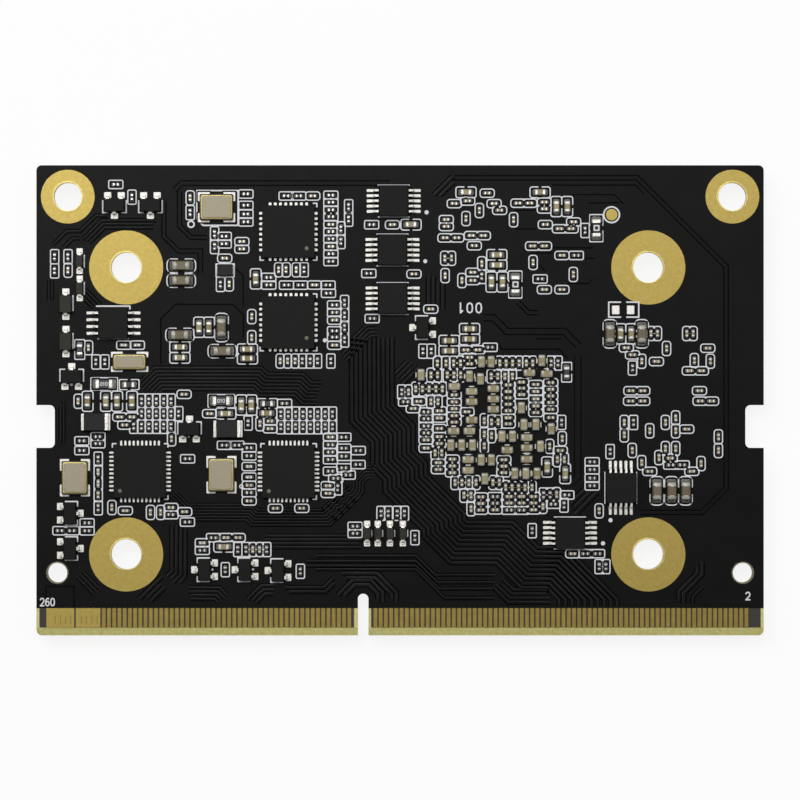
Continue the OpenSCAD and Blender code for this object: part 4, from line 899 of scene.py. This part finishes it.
def make_conductors(name, routes, gap_routes, under=False):
    """All conductors of one face: the ridges and via lands are one piece, the gaps beside them another."""
    bundles = [traces(*route, under=under) for route in routes]
    gaps = [gap for _, gap, _ in bundles] + [ridges(*route, GAP_TOP, under=under) for route in gap_routes]
    ends = np.concatenate([end for _, _, end in bundles])
    seat = np.full(len(ends), BOARD_UNDER if under else BOARD_TOP)
    ring, out = rounded_ring(2 * VIA_RADIUS, 2 * VIA_RADIUS, 0.99 * VIA_RADIUS, 2)
    land = loft(stations(ring, out, [-SUNK, RIDGE_TOP + 0.001], [0, 0.03]))
    lands = stamp(land, np.column_stack([ends, seat, np.zeros(len(ends))]), under)
    put(name + "_ridges", together(*[ridge for ridge, _, _ in bundles], lands), RAISED)
    put(name + "_gaps", together(*gaps), CHANNEL)


make_conductors("conductor", RIDGE_ROUTES, GAP_ROUTES)
make_conductors("underside_conductor", UNDER_ROUTES, UNDER_GAPS, under=True)


RIM_RISE = 0.008


def rim(x, y, radius, width, level, rise):
    """A low rounded rim round a hole: a profile of five points carried round a full turn.

    A point of it is at radius plus a share of width, and at level plus a share of rise.
    """
    turn = np.linspace(0, 2 * np.pi, 49)[:-1, None]
    away = radius + width * np.array([0, 1, 0.8, 0.4, 0])
    height = level + rise * np.array([-0.6, -0.6, 0.6, 1, 0.4])
    points = np.stack(np.broadcast_arrays(x + away * np.cos(turn), y + away * np.sin(turn), height), -1)
    number = np.arange(points[..., 0].size).reshape(points.shape[:2])
    ahead, beside = np.roll(number, -1, 0), np.roll(number, -1, 1)
    faces = np.stack([number, ahead, np.roll(ahead, -1, 1), beside], -1).reshape(-1, 4)
    return points.reshape(-1, 3), faces if rise > 0 else faces[:, ::-1]


def make_rims(name, centres, radius, width, top, bottom, material):
    """Rims round some holes, on both faces of the board."""
    shapes = [rim(x, y, radius, width, level, rise)
              for x, y in centres for level, rise in ((top, RIM_RISE), (bottom, -RIM_RISE))]
    put(name, together(*shapes), material)


# Rims of bare laminate round the guide holes, in a colour darkened by painted shade.
make_rims("guide_hole_rims", [(-GUIDE_X, GUIDE_Y), (GUIDE_X, GUIDE_Y)], 0.95, 0.13, BOARD_TOP, BOARD_UNDER,
          BARE_RIM_PAINTED_SHADE)
# Rims round the plated holes: a real rounded barrel edge, in a gold brighter than the lands, which is a
# painted highlight.
for node, radius in (("heatsink_hole_plating", 1.45), ("corner_hole_plating", 1.35)):
    low, high = (corner.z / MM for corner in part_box(node))
    make_rims(node + "_rims", middles(solid_boxes(node))[:, :2], radius, 0.16, high, low, SEAM_GOLD_AND_RIM_HIGHLIGHT)


# Legend: ink where a signed distance on a fine grid is below zero

LEGEND_STEP = 0.05
STROKE = 0.108
TICK_STROKE = 0.13
PAD_CLEAR = 0.13
INK_THICKNESS = 0.012
MARK_THICKNESS = 0.006
FAR = 9.0


def box_distance(u, v, half_u, half_v, radius=0.0):
    """Signed distance to a rounded box: the distance to its edge outside it, and less than zero inside it."""
    across, up = np.abs(u) - half_u + radius, np.abs(v) - half_v + radius
    return np.hypot(np.maximum(across, 0), np.maximum(up, 0)) + np.minimum(np.maximum(across, up), 0) - radius


def line_distance(u, v, start, end):
    """Distance to a straight line between two points."""
    du, dv = end[0] - start[0], end[1] - start[1]
    share = np.clip(((u - start[0]) * du + (v - start[1]) * dv) / (du * du + dv * dv), 0, 1)
    return np.hypot(u - start[0] - share * du, v - start[1] - share * dv)


class Print:
    """A printed layer over a rectangle: ink is below zero in its field, and pads push it away."""

    def __init__(self, low, high, step):
        self.x = np.arange(low[0], high[0] + step, step)
        self.y = np.arange(low[1], high[1] + step, step)
        self.ink = np.full((len(self.y), len(self.x)), FAR)
        self.pads = self.ink.copy()

    def window(self, x0, x1, y0, y1):
        """The part of the grid between some limits, with its places along X and along Y."""
        columns = slice(*np.searchsorted(self.x, [x0, x1]))
        rows = slice(*np.searchsorted(self.y, [y0, y1]))
        return (rows, columns), self.x[None, columns], self.y[rows, None]

    def join(self, field, part, distance):
        """A shape joins a field: the lesser of the two distances holds."""
        field[part] = np.minimum(field[part], distance)

    def box(self, x, y, turned, length, width, radius, gap=0.0, stroke=STROKE):
        """Outline of a rounded box: distance to its edge, less half a stroke. A gap opens its long sides."""
        reach = max(length, width) / 2 + 0.3
        part, gx, gy = self.window(x - reach, x + reach, y - reach, y + reach)
        u, v = (gy - y, gx - x) if turned else (gx - x, gy - y)
        edge = np.abs(box_distance(u, v, length / 2, width / 2, radius)) - stroke / 2
        self.join(self.ink, part, np.maximum(edge, gap / 2 - np.abs(u)) if gap else edge)

    def line(self, points, stroke=STROKE):
        """A bent line: the least distance to its straight parts, less half a stroke."""
        for start, end in zip(points[:-1], points[1:]):
            xs, ys = sorted((start[0], end[0])), sorted((start[1], end[1]))
            part, gx, gy = self.window(xs[0] - 0.3, xs[1] + 0.3, ys[0] - 0.3, ys[1] + 0.3)
            self.join(self.ink, part, line_distance(gx, gy, start, end) - stroke / 2)

    def ring(self, x, y, radius, stroke=STROKE):
        """A circle, or a full dot where the stroke is 0."""
        reach = radius + 0.3
        part, gx, gy = self.window(x - reach, x + reach, y - reach, y + reach)
        away = np.hypot(gx - x, gy - y) - radius
        self.join(self.ink, part, np.abs(away) - stroke / 2 if stroke else away)

    def figures(self, text, x, y, height, width, pitch, stroke, across=1, up=1):
        """Plain figures in strokes, from their left foot at x, y.

        across and up are -1 where an axis is turned over.
        """
        for number, figure in enumerate(text):
            foot = number * pitch
            for points in FIGURES[figure]:
                self.line([(x + across * (foot + a * width), y + up * b * height) for a, b in points], stroke)

    def keep_clear(self, boxes):
        """Soldered lands that push the ink away: the distance to each box."""
        for low, high in boxes:
            part, gx, gy = self.window(low[0] - 0.4, high[0] + 0.4, low[1] - 0.4, high[1] + 0.4)
            half = (high - low) / 2
            middle = low + half
            self.join(self.pads, part, box_distance(gx - middle[0], gy - middle[1], half[0], half[1]))

    def sheet(self):
        """The inked region as faces: one polygon in each grid cell.

        Its points are the cell's inked corners and the places on the cell's edges where the field, taken as
        straight between corners, is zero.
        """
        field = np.maximum(self.ink, PAD_CLEAR - self.pads)
        rows, columns = field.shape
        count = rows * columns
        gx, gy = np.meshgrid(self.x, self.y)
        right, up = field[:, 1:] - field[:, :-1], field[1:] - field[:-1]
        along_x, along_y = gx.copy(), gy.copy()
        with np.errstate(divide="ignore", invalid="ignore"):
            along_x[:, :-1] -= np.nan_to_num(field[:, :-1] / right) * (self.x[1] - self.x[0])
            along_y[:-1] -= np.nan_to_num(field[:-1] / up) * (self.y[1] - self.y[0])
        points = np.concatenate([np.stack(pair, -1).reshape(-1, 2)
                                 for pair in ((gx, gy), (along_x, gy), (gx, along_y))])
        corner = np.arange(count).reshape(rows, columns)
        low, high = corner[:-1], corner[1:]
        around = [low[:, :-1], low[:, :-1] + count, low[:, 1:], low[:, 1:] + 2 * count,
                  high[:, 1:], high[:, :-1] + count, high[:, :-1], low[:, :-1] + 2 * count]
        inked = field < 0
        corners = [inked[:-1, :-1], inked[:-1, 1:], inked[1:, 1:], inked[1:, :-1]]
        case = sum(hit.astype(int) << bit for bit, hit in enumerate(corners))
        faces = []
        for kind in range(1, 16):
            cells = case == kind
            held = [bool(kind >> bit & 1) for bit in range(4)]
            walk = []
            for bit in range(4):
                walk += [2 * bit] if held[bit] else []
                walk += [2 * bit + 1] if held[bit] != held[(bit + 1) % 4] else []
            faces.append(np.stack([around[place][cells] for place in walk], -1))
        used, renumbered = np.unique(np.concatenate([face.ravel() for face in faces]), return_inverse=True)
        ends = np.cumsum([face.size for face in faces])[:-1]
        rows_of = [part.reshape(face.shape) for part, face in zip(np.split(renumbered.ravel(), ends), faces)]
        return points[used], [row for part in rows_of for row in part.tolist()]


FIGURES = {
    "0": [[(0.5, 0), (0.1, 0.12), (0, 0.4), (0, 0.6), (0.1, 0.88), (0.5, 1), (0.9, 0.88), (1, 0.6), (1, 0.4),
           (0.9, 0.12), (0.5, 0)]],
    "1": [[(0.15, 0.78), (0.55, 1), (0.55, 0)]],
    "2": [[(0, 0.8), (0.2, 0.96), (0.5, 1), (0.85, 0.93), (1, 0.72), (0.85, 0.48), (0, 0), (1, 0)]],
    "5": [[(0.9, 1), (0.15, 1), (0.08, 0.56), (0.45, 0.64), (0.85, 0.55), (1, 0.32), (0.85, 0.08), (0.45, 0),
           (0, 0.1)]],
    "9": [[(0.1, 0.05), (0.5, 0), (0.85, 0.2), (1, 0.55), (0.95, 0.85), (0.55, 1), (0.15, 0.92), (0, 0.68),
           (0.15, 0.44), (0.55, 0.4), (0.95, 0.6)]],
    "6": [[(0.9, 0.95), (0.5, 1), (0.15, 0.8), (0, 0.45), (0.05, 0.15), (0.45, 0), (0.85, 0.08), (1, 0.32),
           (0.85, 0.56), (0.45, 0.6), (0.05, 0.4)]],
}


def ink_piece(name, layer, base, thickness, material, under=False):
    """A printed layer as a thin closed sheet on its base: flat cells are merged, then given thickness."""
    points, faces = layer.sheet()
    flat = bpy.data.meshes.new(name)
    flat.from_pydata(np.column_stack([points, np.full(len(points), base)]) * MM, [], faces)
    work = bmesh.new()
    work.from_mesh(flat)
    bmesh.ops.dissolve_limit(work, angle_limit=math.radians(3), verts=work.verts[:], edges=work.edges[:])
    if under:
        bmesh.ops.reverse_faces(work, faces=work.faces[:])
    work.to_mesh(flat)
    work.free()
    flat.materials.append(material)
    piece = bpy.data.objects.new(name, flat)
    bpy.context.scene.collection.objects.link(piece)
    wall = piece.modifiers.new("thickness", "SOLIDIFY")
    wall.thickness = thickness * MM
    wall.offset = 1.0
    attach(piece, "root")


# Length, width, corner radius and gap of the outline round a chip
CHIP_OUTLINES = {
    "small_capacitors": (1.36, 0.8, 0.27, 0.0),
    "load_capacitors": (1.36, 0.8, 0.2, 0.0),
    "small_resistors": (1.36, 0.8, 0.14, 0.0),
    "medium_capacitors": (1.935, 1.035, 0.22, 0.3),
    "medium_resistors": (1.885, 0.95, 0.08, 0.3),
    "large_capacitors": (2.735, 1.285, 0.45, 0.65),
    "large_resistors": (2.55, 1.2, 0.06, 0.0),
    "bead_bodies": (2.6, 1.25, 0.05, 0.45),
}
UNDER_OUTLINES = {
    "bulk_capacitors": (2.95, 1.7, 0.3, 0.5),
    "underside_capacitors": CHIP_OUTLINES["medium_capacitors"],
}
PAD_NODES = ("small_capacitor_ends", "small_resistor_ends", "medium_capacitor_ends", "medium_resistor_ends",
             "large_capacitor_ends", "large_resistor_ends", "bead_ends", "chip_solder_joints", "lead_solder",
             "power_manager_terminals", "transceiver_terminals")
LEGEND_LINES = [
    [(-15.5, 20.08), (-19.45, 20.08), (-19.45, 17.35), (-18.85, 16.75), (-15.5, 16.75), (-15.5, 20.08)],
    [(-17.6, 13.05), (-15.88, 13.05), (-15.88, 11.82), (-17.6, 11.82), (-17.6, 13.05)],
    [(21.1, 9.4), (19.97, 9.4), (19.97, 7.97), (21.1, 7.97)],
    [(21.7, 9.4), (22.84, 9.4), (22.84, 7.97), (21.7, 7.97)],
    [(-30.29, -1.25), (-30.29, -2.95)],
    [(-17.58, -1.95), (-17.58, -3.55)],
    [(-29.05, 9.02), (-25.85, 9.02), (-25.85, 8.75)],
    [(-28.9, 5.92), (-26.0, 5.92)],
    [(-31.3, 10.0), (-31.3, 8.6)],
    [(-31.3, 6.4), (-31.3, 5.0)],
    [(-30.23, 12.75), (-30.23, 13.9)],
    [(-30.23, 10.15), (-30.23, 11.3)],
]
LEGEND_LINES += [[(x, -12.45), (x, -13.0)] for x in (-2.73, -1.68, -0.54, 0.71)]
LEGEND_RINGS = [(20.24, 17.77, 0.75, 0.15), (-20.0, 16.86, 0.29, 0.15), (-15.19, -8.23, 0.16, 0.1)]
LEGEND_DOTS = [(-7.19, 5.75, 0.2), (2.54, 18.0, 0.2), (2.41, 13.32, 0.19), (20.14, -11.46, 0.2),
               (19.42, -13.68, 0.2), (-17.96, -16.19, 0.11), (-14.08, -16.18, 0.11), (-31.45, 1.55, 0.16),
               (-20.2, -3.45, 0.12)]


def outline_chips(layer, outlines):
    """A rounded outline round every chip of the named families."""
    for node, outline in outlines.items():
        for x, y, _, turn in chips[node][0]:
            layer.box(x, y, turn > 1, *outline)


def corner_ticks(layer, middle, half, arm, corners):
    """Short right angles at some corners of a package, half its length and half its width from its middle."""
    for u, v in corners:
        x, y = middle[0] + u * half[0], middle[1] + v * half[1]
        layer.line([(x - u * arm, y), (x, y), (x, y - v * arm)], TICK_STROKE)


def transistor_brackets(layer):
    """Brackets round the end corners beside the single lead, which lies opposite the side with two leads."""
    outward = np.column_stack([np.cos(lead_places[:, 3]), np.sin(lead_places[:, 3])])
    for number, (low, high) in enumerate(transistor_boxes):
        single = -np.round(outward[lead_owner == number].sum(0))
        side = np.array([-single[1], single[0]])
        middle = ((low + high) / 2)[:2]
        half_long = np.abs(side @ (high - low)[:2]) / 2 + 0.1
        half_short = np.abs(single @ (high - low)[:2]) / 2 + 0.06
        for u in (-1, 1):
            bend = middle + u * side * half_long + single * half_short
            layer.line([tuple(bend - single * 1.15), tuple(bend), tuple(bend - u * side * 0.45)], TICK_STROKE)


def print_top():
    """All ink on the component face."""
    layer = Print(BOARD_LOW[:2], BOARD_HIGH[:2], LEGEND_STEP)
    outline_chips(layer, CHIP_OUTLINES)
    half_width = chips["block_capacitors"][1][1] / 2 + 0.13
    for x, y, _, turn in chips["block_capacitors"][0]:
        for side in (-half_width, half_width):
            line = [(-0.4, side), (0.4, side)]
            layer.line([(x + b, y + a) if turn > 1 else (x + a, y + b) for a, b in line], 0.1)
    for low, high in solid_boxes("regulator_bodies"):
        x, y = ((low + high) / 2)[:2]
        half = (high - low) / 2
        turned = half[0] > half[1]
        reach = half[0 if turned else 1] + 0.02
        for side in (-reach, reach):
            line = [(-1.5, side), (1.5, side)]
            layer.line([(x + b, y + a) if turned else (x + a, y + b) for a, b in line], 0.1)
    for kind, half, corners in (("power_manager", 2.72, ((1, 1), (1, -1), (-1, -1))),
                                ("transceiver", 2.66, ((1, 1), (1, -1), (-1, 1)))):
        for middle in middles(solid_boxes(kind + "_1", kind + "_2")):
            corner_ticks(layer, middle, (half, half), 0.34, corners)
    transistor_brackets(layer)
    for points in LEGEND_LINES:
        layer.line(points, 0.14)
    for x, y, radius, stroke in LEGEND_RINGS:
        layer.ring(x, y, radius, stroke)
    for x, y, radius in LEGEND_DOTS:
        layer.ring(x, y, radius, 0)
    pads = solid_boxes(*PAD_NODES)
    under_filter = np.linalg.norm((middles(pads) - middles(solid_boxes("filter_body")))[:, :2], axis=1) < 1.1
    layer.keep_clear(pads[~under_filter])
    layer.figures("260", -34.42, -19.66, 0.72, 0.34, 0.5, 0.12)
    layer.figures("2", 33.1, -19.08, 0.72, 0.38, 0.5, 0.13)
    layer.figures("001", 7.78, 9.32, 0.94, 0.5, 0.86, 0.14, across=-1, up=-1)
    ink_piece("legend_top", layer, BOARD_TOP, INK_THICKNESS, INK)


ALL_CORNERS = ((1, 1), (-1, 1), (-1, -1), (1, -1))


def print_underside():
    """All ink under the board: outlines of chips and chokes, corners of packages, and pin-one dots."""
    layer = Print(BOARD_LOW[:2], BOARD_HIGH[:2], LEGEND_STEP)
    outline_chips(layer, UNDER_OUTLINES)
    for x, y, _ in middles(solid_boxes("power_chokes")):
        layer.box(x, y, False, 4.95, 4.4, 0.5)
    for node, clear in (("processor_substrate", 0.4), ("memory_packages", 0.3), ("flash_package", 0.3),
                        ("power_controller", 0.3)):
        for low, high in solid_boxes(node):
            half = ((high - low) / 2)[:2] + clear
            middle = ((low + high) / 2)[:2]
            corner_ticks(layer, middle, half, 0.9, ALL_CORNERS)
            layer.ring(middle[0] - half[0] - 0.35, middle[1] + half[1] - 0.3, 0.2, 0)
    boxes = solid_boxes("crystal_bases")
    for low, high in boxes[is_under(boxes)]:
        length, width = (high - low)[:2] + 0.75
        layer.box(*((low + high) / 2)[:2], False, length, width, 0.05)
    layer.keep_clear(solid_boxes("underside_capacitor_ends", "underside_solder",
                                 "power_controller_terminals"))
    layer.figures("259", -32.9, -19.66, 0.72, 0.34, 0.5, 0.12, across=-1)
    layer.figures("1", 33.6, -19.08, 0.72, 0.38, 0.5, 0.13, across=-1)
    ink_piece("legend_underside", layer, BOARD_UNDER, INK_THICKNESS, INK, under=True)


def top_of(node):
    """Height of a node's upper face above the floor, in millimetres."""
    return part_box(node)[1].z / MM


def mark_tops():
    """Marks on the parts: dots on the quad packages, figures on the large resistors, squares on the beads."""
    for node, x, y in (("power_manager_1", -8.91, 14.52), ("power_manager_2", -8.93, 5.95),
                       ("transceiver_1", -26.75, -8.65), ("transceiver_2", -12.53, -8.67)):
        top = top_of(node)
        put(node + "_dot", disc(x, y, 0.2, top - SUNK, top + SUNK), DOT)
    for number, (x, y, _, _) in enumerate(chips["large_resistors"][0]):
        layer = Print((x - 0.7, y - 0.45), (x + 0.7, y + 0.45), 0.02)
        layer.figures("010", x - 0.35, y - 0.16, 0.32, 0.19, 0.25, 0.06)
        ink_piece(f"resistor_figures_{number}", layer, top_of("large_resistors"), MARK_THICKNESS, INK)
    for number, (x, y, _, _) in enumerate(chips["bead_bodies"][0]):
        layer = Print((x - 0.4, y - 0.4), (x + 0.4, y + 0.4), 0.03)
        layer.box(x, y, False, 0.44, 0.44, 0.0, 0.0, 0.13)
        ink_piece(f"bead_square_{number}", layer, top_of("bead_bodies"), MARK_THICKNESS, INK)


print_top()
print_underside()
mark_tops()


# Camera, light and floor

CAMERA_HEIGHT = 430.0
VIEW_WIDTH = 76.555
VIEW_MIDDLE = (-0.005, 0.038)
SENSOR = 36.0
WORLD_LIGHT = 0.54
FLOOR_WHITE = 0.88
FLOOR_HALF = 1.5


def set_stage():
    """Camera straight above the board, a light on each side, one overhead at the upper left, and a floor."""
    scene = bpy.context.scene
    scene.view_settings.view_transform = "Standard"
    camera = bpy.data.cameras.new("camera")
    camera.sensor_width = SENSOR
    camera.lens = SENSOR * CAMERA_HEIGHT / VIEW_WIDTH
    camera.clip_start = 0.01
    holder = bpy.data.objects.new("camera", camera)
    holder.location = (VIEW_MIDDLE[0] * MM, VIEW_MIDDLE[1] * MM, (BOARD_TOP + CAMERA_HEIGHT) * MM)
    scene.collection.objects.link(holder)
    scene.camera = holder
    add_panel("key_light", (-0.15, 0.15, 0.30), 0.26, 0.64)
    add_panel("fill_light", (0.18, 0.08, 0.32), 0.26, 0.4)
    add_panel("overhead_light", (-0.06, 0.14, 0.50), 0.18, 0.95)
    world = bpy.data.worlds.new("studio")
    world.use_nodes = True
    scene.world = world
    seen = seen_directly(world.node_tree)
    background = world.node_tree.nodes["Background"]
    level = world.node_tree.nodes.new("ShaderNodeMapRange")
    level.inputs["To Min"].default_value = WORLD_LIGHT
    level.inputs["To Max"].default_value = 1.0
    world.node_tree.links.new(seen, level.inputs["Value"])
    world.node_tree.links.new(level.outputs["Result"], background.inputs["Strength"])
    add_floor()


def add_panel(name, place, side, power):
    """A square light panel that faces the board's middle."""
    light = bpy.data.lights.new(name, "AREA")
    light.size = side
    light.energy = power
    panel = bpy.data.objects.new(name, light)
    panel.location = place
    panel.rotation_euler = panel.location.to_track_quat("Z", "Y").to_euler()
    bpy.context.scene.collection.objects.link(panel)


def seen_directly(tree):
    """1 for rays from the camera, off glossy surfaces or through clear ones, and 0 for rays that light."""
    path = tree.nodes.new("ShaderNodeLightPath")
    seen = path.outputs["Is Camera Ray"]
    for kind in ("Is Glossy Ray", "Is Transmission Ray"):
        either = tree.nodes.new("ShaderNodeMath")
        either.operation = "MAXIMUM"
        tree.links.new(seen, either.inputs[0])
        tree.links.new(path.outputs[kind], either.inputs[1])
        seen = either.outputs["Value"]
    return seen


def add_floor():
    """A wide floor under the module: mostly plain white where it is seen, with the module's shadow in it."""
    material, tree, shader, coordinates = node_material("floor_paper")
    tint = ramp(tree, noise(tree, coordinates, 40), ((0.3, grey(0.9)), (0.7, grey(0.92))))
    tree.links.new(tint, shader.inputs["Base Color"])
    shader.inputs["Roughness"].default_value = 0.9
    shader.inputs["Specular IOR Level"].default_value = 0.0
    white = tree.nodes.new("ShaderNodeEmission")
    share = tree.nodes.new("ShaderNodeMath")
    share.operation = "MULTIPLY"
    share.inputs[1].default_value = FLOOR_WHITE
    tree.links.new(seen_directly(tree), share.inputs[0])
    mixed = tree.nodes.new("ShaderNodeMixShader")
    tree.links.new(share.outputs["Value"], mixed.inputs["Fac"])
    tree.links.new(shader.outputs[0], mixed.inputs[1])
    tree.links.new(white.outputs[0], mixed.inputs[2])
    tree.links.new(mixed.outputs[0], tree.nodes["Material Output"].inputs["Surface"])
    mesh = bpy.data.meshes.new("floor")
    mesh.from_pydata([(FLOOR_HALF * u, FLOOR_HALF * v, 0) for u, v in ALL_CORNERS], [], [(0, 1, 2, 3)])
    mesh.materials.append(material)
    floor = bpy.data.objects.new("floor", mesh)
    bpy.context.scene.collection.objects.link(floor)


set_stage()

# Finishes of the solids that stay in view
NODE_FINISH = {
    MASK: ("solder_mask_top", "solder_mask_underside"),
    LAMINATE: ("board_laminate",),
    GOLD: ("heatsink_hole_plating", "corner_hole_plating", "alignment_target"),
    CONTACT: ("edge_contacts_top", "edge_contacts_underside"),
    SOLDER_WITH_PAINTED_REFLECTION: ("underside_solder",),
}
for finish, names in NODE_FINISH.items():
    for name in names:
        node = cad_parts[name]
        node.data.materials.clear()
        node.data.materials.append(finish)
